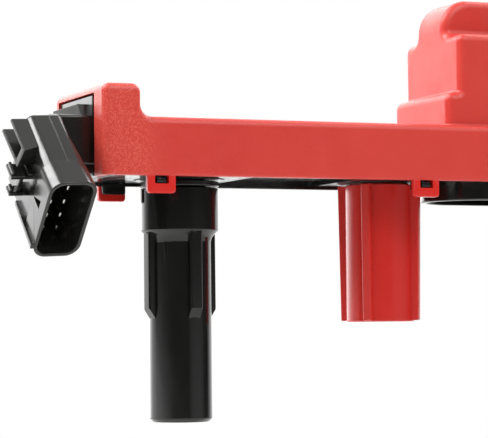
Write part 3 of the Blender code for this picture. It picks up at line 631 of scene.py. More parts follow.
def ramp(owner, value, low, high, start=0.0, end=1.0, kind="LINEAR"):
    """Takes a source from the range low to high over to the range start to end."""
    return add_node(owner, "MapRange", interpolation_type=kind, Value=value, From_Min=low, From_Max=high,
                    To_Min=start, To_Max=end), "Result"


def soft_ramp(owner, value, low, high, start=0.0, end=1.0):
    """A ramp that leaves and arrives gently."""
    return ramp(owner, value, low, high, start, end, "SMOOTHSTEP")


def place_on(finish, stretch=None):
    """The place on the object, as it is or stretched."""
    place = add_node(finish, "TexCoord"), "Object"
    return (add_node(finish, "Mapping", Vector=place, Scale=stretch), "Vector") if stretch else place


def noise(finish, place, scale, detail, roughness):
    """An uneven pattern from zero to one."""
    return add_node(finish, "TexNoise", Vector=place, Scale=scale, Detail=detail, Roughness=roughness), "Fac"


def feed_of(finish, socket):
    """The source that now feeds a socket of the finish's Principled shader."""
    link = finish.node_tree.nodes["Principled BSDF"].inputs[socket].links[0]
    return link.from_node, link.from_socket.name


def drive(finish, socket, source):
    """Links a source to the finish's Principled shader."""
    node, output = source
    shader = finish.node_tree.nodes["Principled BSDF"]
    finish.node_tree.links.new(node.outputs[output], shader.inputs[socket])


def show(owner, shader, output):
    """Makes a shader node what a material or the world shows."""
    owner.node_tree.links.new(shader.outputs["Shader"], owner.node_tree.nodes[output].inputs["Surface"])


def tint(finish, pattern, dark, light, low=0.35, high=0.65):
    """Colours a finish from dark to light over part of a pattern."""
    colours = add_node(finish, "ValToRGB", Fac=pattern)
    for element, position, colour in zip(colours.color_ramp.elements, (low, high), (dark, light)):
        element.position = position
        element.color = (*colour, 1)
    drive(finish, "Base Color", (colours, "Color"))


def relief(finish, pattern, strength, depth):
    """Gives a finish a fine relief."""
    bump = add_node(finish, "Bump", Height=pattern, Strength=strength, Distance=depth)
    drive(finish, "Normal", (bump, "Normal"))


def moulded(name, dark, light, gloss, grain, depth, stretch=(1, 1, 1), cloud=22.0, **sockets):
    """Moulded plastic or rubber: cloudy tint, uneven gloss and a fine surface grain."""
    finish = new_finish(name, **sockets)
    drawn = place_on(finish, stretch)
    tint(finish, noise(finish, place_on(finish), cloud, 5.0, 0.6), dark, light)
    smears = noise(finish, drawn, cloud * 9, 4.0, 0.65)
    drive(finish, "Roughness", ramp(finish, smears, 0.3, 0.7, *gloss))
    relief(finish, noise(finish, drawn, grain, 2.0, 0.5), 0.5, depth)
    return finish


def metal(name, dark, light, gloss, stretch):
    """Drawn, turned or plated metal with fine lines along one direction."""
    finish = new_finish(name, Metallic=1.0)
    lines = noise(finish, place_on(finish, stretch), 900.0, 4.0, 0.6)
    tint(finish, noise(finish, place_on(finish), 160.0, 4.0, 0.7), dark, light, 0.3, 0.7)
    drive(finish, "Roughness", ramp(finish, lines, 0, 1, *gloss))
    relief(finish, lines, 0.25, 0.00002)
    return finish


def banded(name, dark, light, gloss, axis, turns_per_metre, metallic):
    """Close wire turns or laminations: bands across one axis, with relief."""
    finish = new_finish(name, Metallic=metallic)
    place = place_on(finish)
    bands = add_node(finish, "TexWave", Vector=place, Scale=turns_per_metre * math.pi / 10,
                     Distortion=0.15, Detail=1.0, bands_direction=axis)
    patches = noise(finish, place, 260.0, 4.0, 0.5)
    tint(finish, patches, dark, light)
    drive(finish, "Roughness", ramp(finish, patches, 0, 1, *gloss))
    relief(finish, (bands, "Fac"), 0.6, 0.0001)
    return finish


def split_place(finish):
    """The place on the object, split into its three directions."""
    return add_node(finish, "SeparateXYZ", Vector=place_on(finish))


def roughen(finish, where, extra):
    """Makes a finish rougher where a mask is one."""
    usual = feed_of(finish, "Roughness")
    drive(finish, "Roughness", calculate(finish, "MULTIPLY_ADD", where, extra, usual))


def tint_where(finish, where, colour):
    """Gives a finish another colour where a mask is one."""
    usual = feed_of(finish, "Base Color")
    mixed = add_node(finish, "MixRGB", Fac=where, Color1=usual, Color2=(*colour, 1))
    drive(finish, "Base Color", (mixed, "Color"))


def painted_glint_end(finish):
    """The raised connector end gets painted highlight: pale glint flecks on its grain, which fade towards the
    bar.
    """
    along = split_place(finish), "X"
    at_end = soft_ramp(finish, along, STEP_END - 0.0030, STEP_END + 0.0080, 0.70, 0.0)
    glint_flecks = ramp(finish, noise(finish, place_on(finish), 2900.0, 2.0, 0.6), 0.42, 0.72)
    # Painted highlight: pale flecks mixed into the base colour stand in for the sheen of a grazing lamp on
    # the grain.
    tint_where(finish, calculate(finish, "MULTIPLY", at_end, glint_flecks), (0.86, 0.165, 0.115))


def polished_loops(finish):
    """The loops below the cover's edge are smooth and deeper in colour than the grained walls."""
    below = calculate(finish, "LESS_THAN", (split_place(finish), "Z"), COVER_EDGE - 0.0001)
    tint_where(finish, below, (0.66, 0.020, 0.014))
    roughen(finish, below, -0.20)


def matt_collar_face(finish):
    """The connector's collar is grained on its end face, behind the neck's front."""
    place = split_place(finish)
    on_face = calculate(finish, "COMPARE", (place, "X"), SOCKET_COLLAR_LOW[X], 0.0004)
    behind = calculate(finish, "GREATER_THAN", (place, "Y"), NECK_LOW[Y] + 0.0005)
    roughen(finish, calculate(finish, "MULTIPLY", on_face, behind), 0.45)


# Finishes by the record's material slots, then those of single pieces
FINISHES = {
    "red_housing": moulded("red_housing", dark=(0.610, 0.040, 0.028), light=(0.655, 0.048, 0.034),
                           gloss=(0.34, 0.46), grain=2600.0, depth=0.00009),
    "red_pillar": moulded("red_pillar", dark=(0.560, 0.022, 0.017), light=(0.610, 0.028, 0.021),
                          gloss=(0.16, 0.28), grain=700.0, depth=0.00002, stretch=(1, 1, 0.15)),
    "black_plastic": moulded("black_plastic", dark=(0.0060, 0.0060, 0.0056), light=(0.0110, 0.0110, 0.0100),
                             gloss=(0.16, 0.30), grain=900.0, depth=0.00002),
    "black_rubber": moulded("boot_rubber", dark=(0.0050, 0.0050, 0.0048), light=(0.0085, 0.0085, 0.0080),
                            gloss=(0.10, 0.18), grain=500.0, depth=0.00002, stretch=(1, 1, 0.3),
                            Specular_IOR_Level=0.45),
    "tower_plastic": moulded("tower_plastic", dark=(0.0045, 0.0044, 0.0042), light=(0.0075, 0.0073, 0.0070),
                             gloss=(0.16, 0.28), grain=1400.0, depth=0.00002),
    "steel": metal("zinc_plated_steel", dark=(0.50, 0.50, 0.49), light=(0.62, 0.62, 0.60),
                   gloss=(0.22, 0.42), stretch=(1, 1, 0.06)),
    "brass": metal("brass", dark=(0.58, 0.39, 0.14), light=(0.72, 0.52, 0.22),
                   gloss=(0.18, 0.36), stretch=(0.1, 0.1, 1)),
    "tinned_contact": metal("tinned_contact", dark=(0.62, 0.61, 0.57), light=(0.78, 0.77, 0.73),
                            gloss=(0.16, 0.32), stretch=(1, 1, 0.1)),
    "copper_winding": banded("copper_winding", dark=(0.34, 0.105, 0.040), light=(0.50, 0.190, 0.080),
                             gloss=(0.22, 0.40), axis="Z", turns_per_metre=3200.0, metallic=0.8),
    "iron_core": banded("laminated_iron", dark=(0.16, 0.16, 0.17), light=(0.25, 0.25, 0.26),
                        gloss=(0.40, 0.60), axis="X", turns_per_metre=2800.0, metallic=1.0),
    "ferrite": moulded("ferrite", dark=(0.028, 0.028, 0.030), light=(0.045, 0.045, 0.049),
                       gloss=(0.55, 0.80), grain=1800.0, depth=0.00008, cloud=60.0),
    "circuit_board": moulded("solder_mask", dark=(0.010, 0.075, 0.030), light=(0.020, 0.120, 0.050),
                             gloss=(0.28, 0.42), grain=1200.0, depth=0.00002, cloud=300.0),
    "capacitor_case": moulded("capacitor_case", dark=(0.46, 0.24, 0.022), light=(0.60, 0.33, 0.040),
                              gloss=(0.28, 0.44), grain=1000.0, depth=0.00003),
}
# The red housing gets painted highlight flecks at its raised end.
painted_glint_end(FINISHES["red_housing"])
polished_loops(FINISHES["red_housing"])
CONNECTOR_BLACK = moulded("connector_black", dark=(0.0110, 0.0112, 0.0098), light=(0.0190, 0.0192, 0.0170),
                          gloss=(0.16, 0.26), grain=1500.0, depth=0.00002)
matt_collar_face(CONNECTOR_BLACK)
BASE_BLACK = moulded("base_black", dark=(0.0060, 0.0060, 0.0056), light=(0.0110, 0.0110, 0.0100),
                     gloss=(0.10, 0.20), grain=160.0, depth=0.00060)
SPRING_STEEL = metal("spring_steel", dark=(0.40, 0.40, 0.39), light=(0.56, 0.55, 0.53),
                     gloss=(0.20, 0.34), stretch=(1, 1, 1))


def dress_cad_nodes():
    """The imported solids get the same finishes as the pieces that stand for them."""
    for subpart in frame["record"]["subparts"]:
        dress(CAD[subpart["node"]], FINISHES[subpart["material_slot"]])
    dress(CAD["connector_body"], CONNECTOR_BLACK)


# Cover pieces


def cover_bar():
    """The bar with its raised connector end."""
    bar = centred(HALF_LENGTH, HALF_DEPTH, 0, BAR_TOP, "cover_shell")
    divide(bar, (STEP_END, 0, 0), (1, 0, 0))
    draw_out(bar, lambda f: faces(f, Z) and f.calc_center_median().x < STEP_END, (0, 0, STEP_TOP - BAR_TOP))
    clean(bar)
    for height, radius in ((BAR_TOP, STEP_HOLLOW), (STEP_TOP, STEP_ROUND)):
        round_edges(bar, lambda e: across_at(height)(e) and near(middle(e).x, STEP_END), radius, 8)
    round_edges(bar, lambda e: is_sharp(e) and middle(e).z > NEAR, COVER_ROUND, 7)
    return round_edges(bar, is_sharp, COVER_LIP_ROUND, 3)


def cover_hump():
    """The hump in one: main block, plinth ends drawn out below and crown drawn up on top."""
    hump = centred(HUMP_END, HUMP_SIDE, HUMP_LOW, HUMP_TOP)
    divide(hump, (0, 0, PLINTH_TOP), (0, 0, 1))
    divide(hump, (0, CROWN_FRONT, 0), (0, 1, 0))
    divide(hump, (0, CROWN_BACK, 0), (0, 1, 0))
    draw_out(hump, lambda f: faces(f, Z) and CROWN_FRONT < f.calc_center_median().y < CROWN_BACK,
             (0, 0, CROWN_TOP - HUMP_TOP))
    for side in BOTH_SIDES:
        draw_out(hump, lambda f: faces(f, X, side) and f.calc_center_median().z < PLINTH_TOP,
                 (side * PLINTH_OVERHANG, 0, 0))
    clean(hump)
    round_edges(hump, across_at(CROWN_TOP), CROWN_ARC, 10)
    round_edges(hump, lambda e: is_inner_corner(e) and runs_along(e, X), CROWN_HOLLOW, 6)
    round_edges(hump, lambda e: is_inner_corner(e) and runs_along(e, Y), PLINTH_HOLLOW, 4)
    return round_edges(hump, lambda e: is_outer_corner(e) and middle(e).z > HUMP_LOW + NEAR, HUMP_ROUND, 6)


def snap_loop(x, side):
    """A loop that hangs from the cover's edge, flush with its outer face, with a window for the catch."""
    front, back = span(side, HALF_DEPTH, HALF_DEPTH - LOOP_THICK)
    loop = block((x - LOOP_HALF, front, -LOOP_DROP), (x + LOOP_HALF, back, LOOP_ROOT))
    round_edges(loop, across_at(-LOOP_DROP), LOOP_ROUND, 5)
    round_edges(loop, lambda e: is_sharp(e) and middle(e).z < LOOP_ROOT - NEAR, EASE, 2)
    window = block((x - WINDOW_HALF, front - OVERCUT, -WINDOW_DROP), (x + WINDOW_HALF, back + OVERCUT, 0))
    return cut(loop, round_edges(window, lambda e: runs_along(e, Y), FINE_EASE, 2))


def top_cover():
    """The red shell, hollow from below, open at the connector's panel and at the sleeves."""
    cover = fuse(cover_bar(), cover_hump())
    round_edges(cover, lambda e: is_inner_corner(e) and near(middle(e).z, BAR_TOP), HUMP_FOOT_HOLLOW, 3)
    inner = HALF_LENGTH - WALL
    side = HALF_DEPTH - WALL
    hump_side = HUMP_SIDE - WALL
    cut(
        cover,
        centred(inner, side, -OVERCUT, BAR_TOP - WALL),
        block((-inner, -side, -OVERCUT), (STEP_END - WALL, side, STEP_TOP - WALL)),
        centred(PLINTH_SPACE_END, hump_side, OVERCUT, PLINTH_TOP - WALL),
        centred(HUMP_SPACE_END, hump_side, OVERCUT, HUMP_TOP - WALL),
    )
    crown = block((-HUMP_SPACE_END, CROWN_FRONT + WALL, CROWN_SPACE_LOW),
                  (HUMP_SPACE_END, CROWN_BACK - WALL, CROWN_TOP - WALL))
    round_edges(crown, across_at(CROWN_TOP - WALL), CROWN_SPACE_ARC, 6)
    cut(cover, crown)
    cut(cover, block((-HALF_LENGTH - OVERCUT, PANEL_FRONT - CLEARANCE, -OVERCUT),
                     (OVERCUT - inner, PANEL_BACK + CLEARANCE, STEP_TOP - WALL)))
    cut(cover, together(rod(x, 0, OVERCUT, BAR_TOP + OVERCUT, SLEEVE_HOLE) for x in PILLARS.values()))
    fuse(cover, together(snap_loop(x, face) for x in LOOP_XS for face in BOTH_SIDES))
    hand_over(cover, "red_housing", "top_cover")


# Boots, pillars and the turned pieces of the coils


def plug_boots():
    """Four rubber boots, each with a collar, four fins and a small key on the collar."""
    boot = turned([
        (COLLAR_RADIUS, BOOT_TOP, SOFT_EASE),
        (COLLAR_RADIUS, COLLAR_LOW, EASE),
        (TUBE_RADIUS, TAPER_LOW, TAPER_HOLLOW),
        (TUBE_RADIUS, BOOT_TIP + TIP_TAPER, TIP_ROUND),
        (TIP_RADIUS, BOOT_TIP, EASE),
        (PLUG_BORE, BOOT_TIP, TIP_ROUND),
        (PLUG_BORE, BOOT_SHOULDER, 0),
        (TOWER_SPACE, BOOT_SHOULDER, 0),
        (TOWER_SPACE, BOOT_TOP, EASE),
    ], "plug_boot", steps=112)
    fin = block((FIN_ROOT, -FIN_HALF, FIN_LOW), (FIN_REACH, FIN_HALF, FIN_TOP))
    push(fin, lambda v: near(v.co.x, FIN_REACH) and near(v.co.z, FIN_LOW), (0, 0, FIN_SLANT))
    round_edges(fin, sharp_at(X, FIN_REACH), SOFT_EASE, 3)
    fuse_around(boot, fin, FINS, FIN_TURN)
    key = block((KEY_REACH, -KEY_HALF, KEY_LOW), (KEY_ROOT, KEY_HALF, BOOT_TOP - EASE))
    fuse(boot, round_edges(key, sharp_at(X, KEY_REACH), FINE_EASE, 2))
    hand_over_row(boot, PLUGS, "rubber_boot", "black_rubber", "plug_boot", body="boot")


def mounting_pillars():
    """Two ribbed tubes, each with a steel sleeve for its bolt."""
    pillar = turned([
        (PILLAR_NECK, PILLAR_NECK_TOP, SOFT_EASE),
        (PILLAR_NECK, PILLAR_TOP, 0),
        (PILLAR_RADIUS, PILLAR_TOP, EASE),
        (PILLAR_RADIUS, PILLAR_FOOT, SOFT_EASE),
        (SLEEVE_HOLE, PILLAR_FOOT, FINE_EASE),
        (SLEEVE_HOLE, PILLAR_NECK_TOP, FINE_EASE),
    ], "pillar", steps=112)
    rib = block((RIB_ROOT, -RIB_HALF, PILLAR_FOOT + CLEARANCE), (RIB_REACH, RIB_HALF, PILLAR_TOP))
    push(rib, lambda v: near(v.co.x, RIB_REACH) and v.co.z < PILLAR_FOOT / 2, (-RIB_DRAFT, 0, 0))
    round_edges(rib, lambda e: is_sharp(e) and middle(e).x > RIB_REACH - 2 * RIB_DRAFT, SOFT_EASE, 3)
    fuse_around(pillar, rib, RIBS, math.tau / (2 * RIBS))
    hand_over_row(pillar, PILLARS, "ribbed_pillar", "red_pillar", "mounting_pillar")
    sleeve = turned([
        (SLEEVE_RADIUS, BAR_TOP, EASE),
        (SLEEVE_RADIUS, PILLAR_FOOT, EASE),
        (SLEEVE_BORE, PILLAR_FOOT, SOFT_EASE),
        (SLEEVE_BORE, BAR_TOP, SOFT_EASE),
    ], "sleeve", steps=80)
    hand_over_row(sleeve, PILLARS, "steel_sleeve", "steel", "bolt_sleeve")


def coil_row(profile, name, slot, node, body=None, steps=64):
    """One turned piece in each of the four coils; a profile that starts on the axis stays open."""
    piece = turned(profile, name, steps, closed=profile[0][0] > 0)
    hand_over_row(piece, PLUGS, name, slot, node, body)


def wound(radii, low, high, turns):
    """The profile of a winding whose turns or sections bulge on the outer side."""
    inner, outer = radii
    pitch = (high - low) / turns
    bulge = min(pitch / 4, BULGE)
    corners = [(inner, high, 0)]
    for i in range(turns):
        top = high - i * pitch
        corners += [(outer - bulge, top, 0), (outer, top - pitch / 4, 0), (outer, top - pitch * 3 / 4, 0)]
    return corners + [(outer - bulge, low, 0), (inner, low, 0)]


def coil_pieces():
    """Tower, lid, core, windings and terminal of each coil, and the cap that touches the plug."""
    tower = [
        (TOWER_RADIUS, TOWER_TOP, FINE_EASE),
        (TOWER_RADIUS, FLANGE_TOP, 0),
        (FLANGE_RADIUS, FLANGE_TOP, EASE),
        (FLANGE_RADIUS, FLANGE_LOW, EASE),
        (TOWER_RADIUS, FLANGE_LOW, FINE_EASE),
        (TOWER_RADIUS, TOWER_LOW, TOWER_ROUND),
        (TERMINAL_HOLE, TOWER_LOW, 0),
        (TERMINAL_HOLE, TOWER_FLOOR, 0),
        (TOWER_BORE, TOWER_FLOOR, 0),
        (TOWER_BORE, TOWER_TOP, 0),
    ]
    lid = [
        (0, LID_TOP, 0),
        (TOWER_RADIUS, LID_TOP, EASE),
        (TOWER_RADIUS, LID_SEAT, FINE_EASE),
        (LID_PLUG, LID_SEAT, 0),
        (LID_PLUG, LID_LOW, EASE),
        (0, LID_LOW, 0),
    ]
    core = [(0, COIL_TOP, 0), (CORE_RADIUS, COIL_TOP, EASE), (CORE_RADIUS, COIL_LOW, EASE), (0, COIL_LOW, 0)]
    low_winding = wound(LOW_WINDING, COIL_LOW + LOW_WINDING_INSET, COIL_TOP - LOW_WINDING_INSET, LOW_TURNS)
    high_winding = wound(HIGH_WINDING, COIL_LOW, COIL_TOP, HIGH_SECTIONS)
    terminal = [
        (0, HEAD_TOP, 0),
        (HEAD_RADIUS, HEAD_TOP, FINE_EASE),
        (HEAD_RADIUS, HEAD_LOW, 0),
        (STEM_RADIUS, HEAD_LOW, 0),
        (STEM_RADIUS, WASHER_TOP, 0),
        (HEAD_RADIUS, WASHER_TOP, 0),
        (HEAD_RADIUS, WASHER_LOW, FINE_EASE),
        (STEM_RADIUS, WASHER_LOW, FINE_EASE),
        (STEM_RADIUS, STEM_TIP, SOFT_EASE),
        (0, STEM_TIP, 0),
    ]
    cap = [
        (0, CAP_STEM_TOP, 0),
        (STEM_RADIUS, CAP_STEM_TOP, SOFT_EASE),
        (STEM_RADIUS, CAP_TOP, FINE_EASE),
        (CAP_RADIUS, CAP_TOP, SOFT_EASE),
        (CAP_RADIUS, CAP_LOW, SOFT_EASE),
        (CUP_RADIUS, CAP_LOW, EASE),
        (CUP_RADIUS, CUP_FLOOR, EASE),
        (0, CUP_FLOOR, 0),
    ]
    coil_row(tower, "moulded_tower", "tower_plastic", "coil_tower", steps=96)
    coil_row(lid, "tower_lid", "black_plastic", "coil_lid")
    coil_row(core, "iron_rod", "iron_core", "coil_core")
    coil_row(low_winding, "low_winding", "copper_winding", "primary_winding", steps=40)
    coil_row(high_winding, "high_winding", "copper_winding", "secondary_winding", steps=56)
    coil_row(terminal, "brass_terminal", "brass", "high_tension_terminal")
    coil_row(cap, "brass_cap", "brass", "contact_cap", body="contact")


def contact_spring(number):
    """A coil of round wire, as long as the CAD spring it stands for, set on the cassette."""
    node = f"contact_spring_{number}"
    low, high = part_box(node)
    centre = (low + high) / 2
    coil_radius = (high.x - low.x) / 2 - SPRING_WIRE
    bpy.ops.mesh.primitive_circle_add(vertices=12, radius=SPRING_WIRE, location=(coil_radius, 0, SPRING_WIRE),
                                      rotation=(math.pi / 2, 0, 0))
    spring = settle(bpy.context.object)
    spring.name = f"contact_coil_{number}"
    pitch = (high.z - low.z - 2 * SPRING_WIRE) / SPRING_TURNS
    finish_modifier(spring, "SCREW", axis="Z", angle=math.tau, screw_offset=pitch, iterations=SPRING_TURNS,
                    steps=28, render_steps=28, use_smooth_shade=True)
    edit(spring, "EDGE")
    merge_doubles()
    bpy.ops.mesh.select_all(action="DESELECT")
    bpy.ops.mesh.select_non_manifold(extend=False)
    bpy.ops.mesh.edge_face_add()
    bpy.ops.mesh.select_all(action="SELECT")
    bpy.ops.mesh.normals_make_consistent(inside=False)
    close_edit(spring)
    moved(spring, (centre.x, centre.y, low.z))
    dress(spring, SPRING_STEEL)
    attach(spring, "cassette")
    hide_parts(node)
    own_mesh(spring)


# Connector pieces


def round_box(low, high, size, upper_size, corner, segments=6):
    """An upright box with rounded corners that narrows to another size at its top."""
    box = centred(size[0] / 2, size[1] / 2, low, high)
    round_edges(box, is_upright, corner, segments)
    pick(box, "FACE", lambda f: faces(f, Z))
    bpy.ops.transform.resize(value=(upper_size[0] / size[0], upper_size[1] / size[1], 1))
    return close_edit(box)


def guide_slot():
    """The open slot high on the shell's outer face: two plates of unlike height that stand on one floor."""
    front = -0.0107
    back = -0.0052
    low = 0.0139
    floor = 0.0160
    top = 0.0278
    plate = 0.0010
    reach = 0.0045
    rim_ease = 0.00022
    front_narrowing = 0.0009
    front_drop = 0.0018
    root_rise = 0.0016
    slot = block((SHELL_FACE - reach, front, low), (SHELL_FACE + LEDGE_ROOT, back, top))
    push(slot, lambda v: near(v.co.y, front) and v.co.x < SHELL_FACE, (front_narrowing, 0, 0))
    push(slot, lambda v: near(v.co.y, front) and near(v.co.z, top), (0, 0, -front_drop))
    push(slot, lambda v: v.co.x > SHELL_FACE and near(v.co.z, low), (0, 0, root_rise))
    cut(slot, block((SHELL_FACE - reach - OVERCUT, front + plate, floor),
                    (SHELL_FACE, back - plate, top + OVERCUT)))

    def on_rim(edge):
        return is_outer_corner(edge) and (middle(edge).z >= floor or not near(middle(edge).y, front))

    return round_edges(slot, on_rim, rim_ease, 2)


def back_rail():
    """The rail along the back edge of the shell's outer face, which stands out less towards its top."""
    reach = -0.0071
    root = -0.0045
    front = 0.0080
    back = 0.0092
    low = 0.0001
    top = 0.0165
    draft = 0.0007
    rail = block((reach, front, low), (root, back, top))
    push(rail, lambda v: near(v.co.x, reach) and near(v.co.z, top), (draft, 0, 0))
    return round_edges(rail, lambda e: is_sharp(e) and middle(e).x < (reach + root) / 2 - NEAR, FINE_EASE, 2)


def latch_ledges():
    """Two lipped ledges on the shell's outer face with a web between them, and a thin rib beside each."""
    # Outer and inner distance from the face, front and back, low and high
    plates = (
        (-0.0056, LEDGE_ROOT, -0.0030, -0.0020, 0.0130, 0.0180),
        (-0.0054, -0.0046, -0.0041, -0.0019, 0.0135, 0.0175),
        (-0.0050, LEDGE_ROOT, 0.0024, 0.0034, 0.0130, 0.0160),
        (-0.0048, -0.0040, 0.0013, 0.0035, 0.0135, 0.0155),
        (-0.0030, -0.0020, -0.0025, 0.0029, 0.0135, 0.0155),
        (-0.0017, LEDGE_ROOT, -0.0044, -0.0039, 0.0122, 0.0172),
        (-0.0017, LEDGE_ROOT, 0.0016, 0.0021, 0.0116, 0.0164),
    )
    ledges = []
    for outer, inner, front, back, low, high in plates:
        plate = block((SHELL_FACE + outer, front, low), (SHELL_FACE + inner, back, high))
        ledges.append(round_edges(plate, is_sharp, FINE_EASE, 2))
    return ledges


def connector_shell():
    """The connector's shell, mouth down, with its mould seam, slot, rail, ledges, notch and cavity."""
    shell = round_box(SHELL_LOW, SHELL_TOP, SHELL_SIZE, SHELL_TOP_SIZE, SHELL_CORNER, 8)
    round_edges(shell, sharp_at(Z, SHELL_TOP), SHELL_ROUND, 6)
    mouth = round_box(0, MOUTH_TOP, MOUTH_SIZE, MOUTH_TOP_SIZE, MOUTH_CORNER, 10)
    round_edges(mouth, sharp_at(Z, MOUTH_TOP), MOUTH_TOP_EASE, 2)
    fuse(shell, mouth)
    fuse(shell, round_edges(block(SEAM_LOW, SEAM_HIGH), is_sharp, SEAM_EASE, 2))
    fuse(shell, guide_slot(), back_rail(), *latch_ledges())
    notch = block(NOTCH_LOW, NOTCH_HIGH)
    push(notch, lambda v: near(v.co.y, NOTCH_LOW[Y]) and near(v.co.z, NOTCH_HIGH[Z]), (0, NOTCH_SLANT, 0))
    cut(shell, notch)
    cut(shell, round_box(CAVITY_LOW, CAVITY_TOP, CAVITY_SIZE, CAVITY_SIZE, CAVITY_CORNER))
    cut(shell, round_box(-OVERCUT, MOUTH_TOP, LEAD_IN_SIZE, CAVITY_SIZE, LEAD_IN_CORNER, 10))
    return round_edges(shell, sharp_at(Z, 0), MOUTH_LIP_EASE, 3)


def connector_placed(piece):
    """Takes a piece from the shell's own frame to its tilted place at the left end."""
    tilt = Matrix.Rotation(SHELL_TILT, 4, "X")
    yaw = Matrix.Rotation(SHELL_YAW, 4, "Y")
    twist = Matrix.Rotation(SHELL_TWIST, 4, "Z")
    piece.matrix_world = Matrix.Translation(SHELL_PLACE) @ tilt @ yaw @ twist
    return settle(piece)


def pin_places():
    return [(x, y * PIN_PITCH) for x in PIN_ROWS for y in range(-2, 3)]


def connector():
    """The end panel, its collar and neck, and the tilted shell, in one moulding."""
    outer = PANEL_SINK - HALF_LENGTH
    inner = WALL + CLEARANCE - HALF_LENGTH
    top = STEP_TOP - WALL - CLEARANCE
    body = block((outer, PANEL_FRONT + PANEL_STEP, CLEARANCE), (inner + PANEL_THICK / 2, PANEL_BACK, top),
                 "wiring_socket")
    round_edges(body, sharp_at(X, outer), EASE, 3)
    fuse(body, block((inner, PANEL_FRONT - PANEL_LIP, CLEARANCE),
                     (inner + PANEL_THICK, PANEL_BACK + PANEL_LIP, top)))
    collar = block(SOCKET_COLLAR_LOW, SOCKET_COLLAR_HIGH)
    round_edges(collar, lambda e: (runs_along(e, X) and near(middle(e).y, SOCKET_COLLAR_LOW[Y])
                                   and near(middle(e).z, SOCKET_COLLAR_HIGH[Z])), SOCKET_COLLAR_CHAMFER, 1)
    fuse(body, round_edges(collar, lambda e: middle(e).x < -HALF_LENGTH and is_sharp(e), EASE, 3))
    neck = block(NECK_LOW, NECK_HIGH)
    fuse(body, round_edges(neck, lambda e: runs_along(e, X), NECK_ROUND, 4))
    fuse(body, connector_placed(connector_shell()))
    half = PIN_HOLE_HALF
    holes = together(block((x - half, y - half, PIN_HOLE_LOW), (x + half, y + half, PIN_HOLE_TOP))
                     for x, y in pin_places())
    cut(body, connector_placed(holes))
    hand_over(body, "black_plastic", "connector_body", finish=CONNECTOR_BLACK)


def connector_pins():
    """Ten blades, in two rows, with eased edges and tips."""
    pin = centred(PIN_HALF_THICK, PIN_HALF_WIDE, PIN_TIP, PIN_ROOT)
    round_edges(pin, is_upright, PIN_EDGE_EASE, 2)
    round_edges(pin, sharp_at(Z, PIN_TIP), PIN_TIP_EASE, 2)
    for number, (x, y) in enumerate(pin_places(), start=1):
        blade = connector_placed(moved(copied(pin, f"contact_blade_{number}"), (x, y, 0)))
        hand_over(blade, "tinned_contact", f"connector_pin_{number}")
    discard(pin)


# Base pieces


def oval(half_length, half_width, low, high):
    """A block with fully rounded ends."""
    made = centred(half_length, half_width, low, high)
    return round_edges(made, is_upright, half_width - WELD * 10, 24)


def base_catch(x, side):
    """A block behind a snap loop, hung from the base's edge, with a nub that fills the loop's window."""
    front, back = span(side, CATCH_FACE, CATCH_FACE - CATCH_THICK)
    catch = block((x - CATCH_HALF, front, CATCH_LOW), (x + CATCH_HALF, back, -CLEARANCE))
    round_edges(catch, across_at(CATCH_LOW), CATCH_ROUND, 4)
    round_edges(catch, is_sharp, FINE_EASE, 2)
    front, back = span(side, HANGER_FRONT, HANGER_BACK)
    hanger = block((x - HANGER_HALF, front, HANGER_LOW), (x + HANGER_HALF, back, BOSS_TOP))
    front, back = span(side, NUB_ROOT, HALF_DEPTH - CLEARANCE)
    nub = block((x - NUB_HALF, front, NUB_LOW), (x + NUB_HALF, back, NUB_TOP))
    round_edges(nub, lambda e: is_sharp(e) and abs(middle(e).y) > CATCH_FACE, FINE_EASE, 2)
    return fuse(catch, hanger, nub)


def base_plate():
    """The black plate that closes the cover, with its rims, bosses, posts and catches."""
    base = block((BASE_LEFT, -BASE_SIDE, BASE_LOW), (BASE_RIGHT, BASE_SIDE, BASE_TOP), "base_floor")
    round_edges(base, sharp_at(Z, BASE_LOW), EASE, 2)
    for end in BOTH_SIDES:
        left, right = span(end, POCKET_FAR, POCKET_NEAR)
        pocket = block((left, -POCKET_SIDE, -OVERCUT), (right, POCKET_SIDE, POCKET_TOP))
        cut(base, round_edges(pocket, is_upright, POCKET_CORNER, 4))
    back_rim = block(BACK_RIM_LOW, BACK_RIM_HIGH)
    fuse(base, round_edges(back_rim, sharp_at(Z, BACK_RIM_LOW[Z]), FINE_EASE, 2))
    tray = oval(TRAY_HALF_LENGTH, TRAY_HALF_WIDTH, TRAY_LOW, BOSS_TOP)
    cut(tray, oval(TRAY_HALF_LENGTH - TRAY_WALL, TRAY_HALF_WIDTH - TRAY_WALL, TRAY_LOW - OVERCUT, BASE_TOP))
    fuse(base, round_edges(tray, sharp_at(Z, TRAY_LOW), SOFT_EASE, 3))
    fuse(base, together(rod(x, 0, 0, BOSS_TOP, TOWER_BOSS, 72) for x in PLUGS.values()))
    fuse(base, together(rod(x, 0, 0, BOSS_TOP, PILLAR_BOSS, 72) for x in PILLARS.values()))
    fuse(base, together(rod(x, y, BOSS_TOP, POST_TOP, POST_RADIUS, 32) for x in POST_XS for y in POST_YS))
    fuse(base, together(base_catch(x, face) for x in LOOP_XS for face in BOTH_SIDES))
    cut(base, together(rod(x, 0, -OVERCUT, BASE_TOP + OVERCUT, TOWER_HOLE, 96) for x in PLUGS.values()))
    cut(base, together(rod(x, 0, -OVERCUT, BASE_TOP + OVERCUT, PILLAR_HOLE, 96) for x in PILLARS.values()))
    hand_over(base, "black_plastic", "base_plate", finish=BASE_BLACK)


# Electronics under the hump


def box_of(node):
    """A CAD node's lowest and highest corners, from the cover's edge level."""
    low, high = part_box(node)
    lift = Vector((0, 0, COVER_EDGE))
    return low - lift, high - lift


def rounded_case(node, name, slot, corner, ease):
    """A block as large as a CAD node; its corners, then its edges, are rounded by a radius in some steps."""
    case = block(*box_of(node), name)
    round_edges(case, is_upright, *corner)
    round_edges(case, is_sharp, *ease)
    hand_over(case, slot, node)


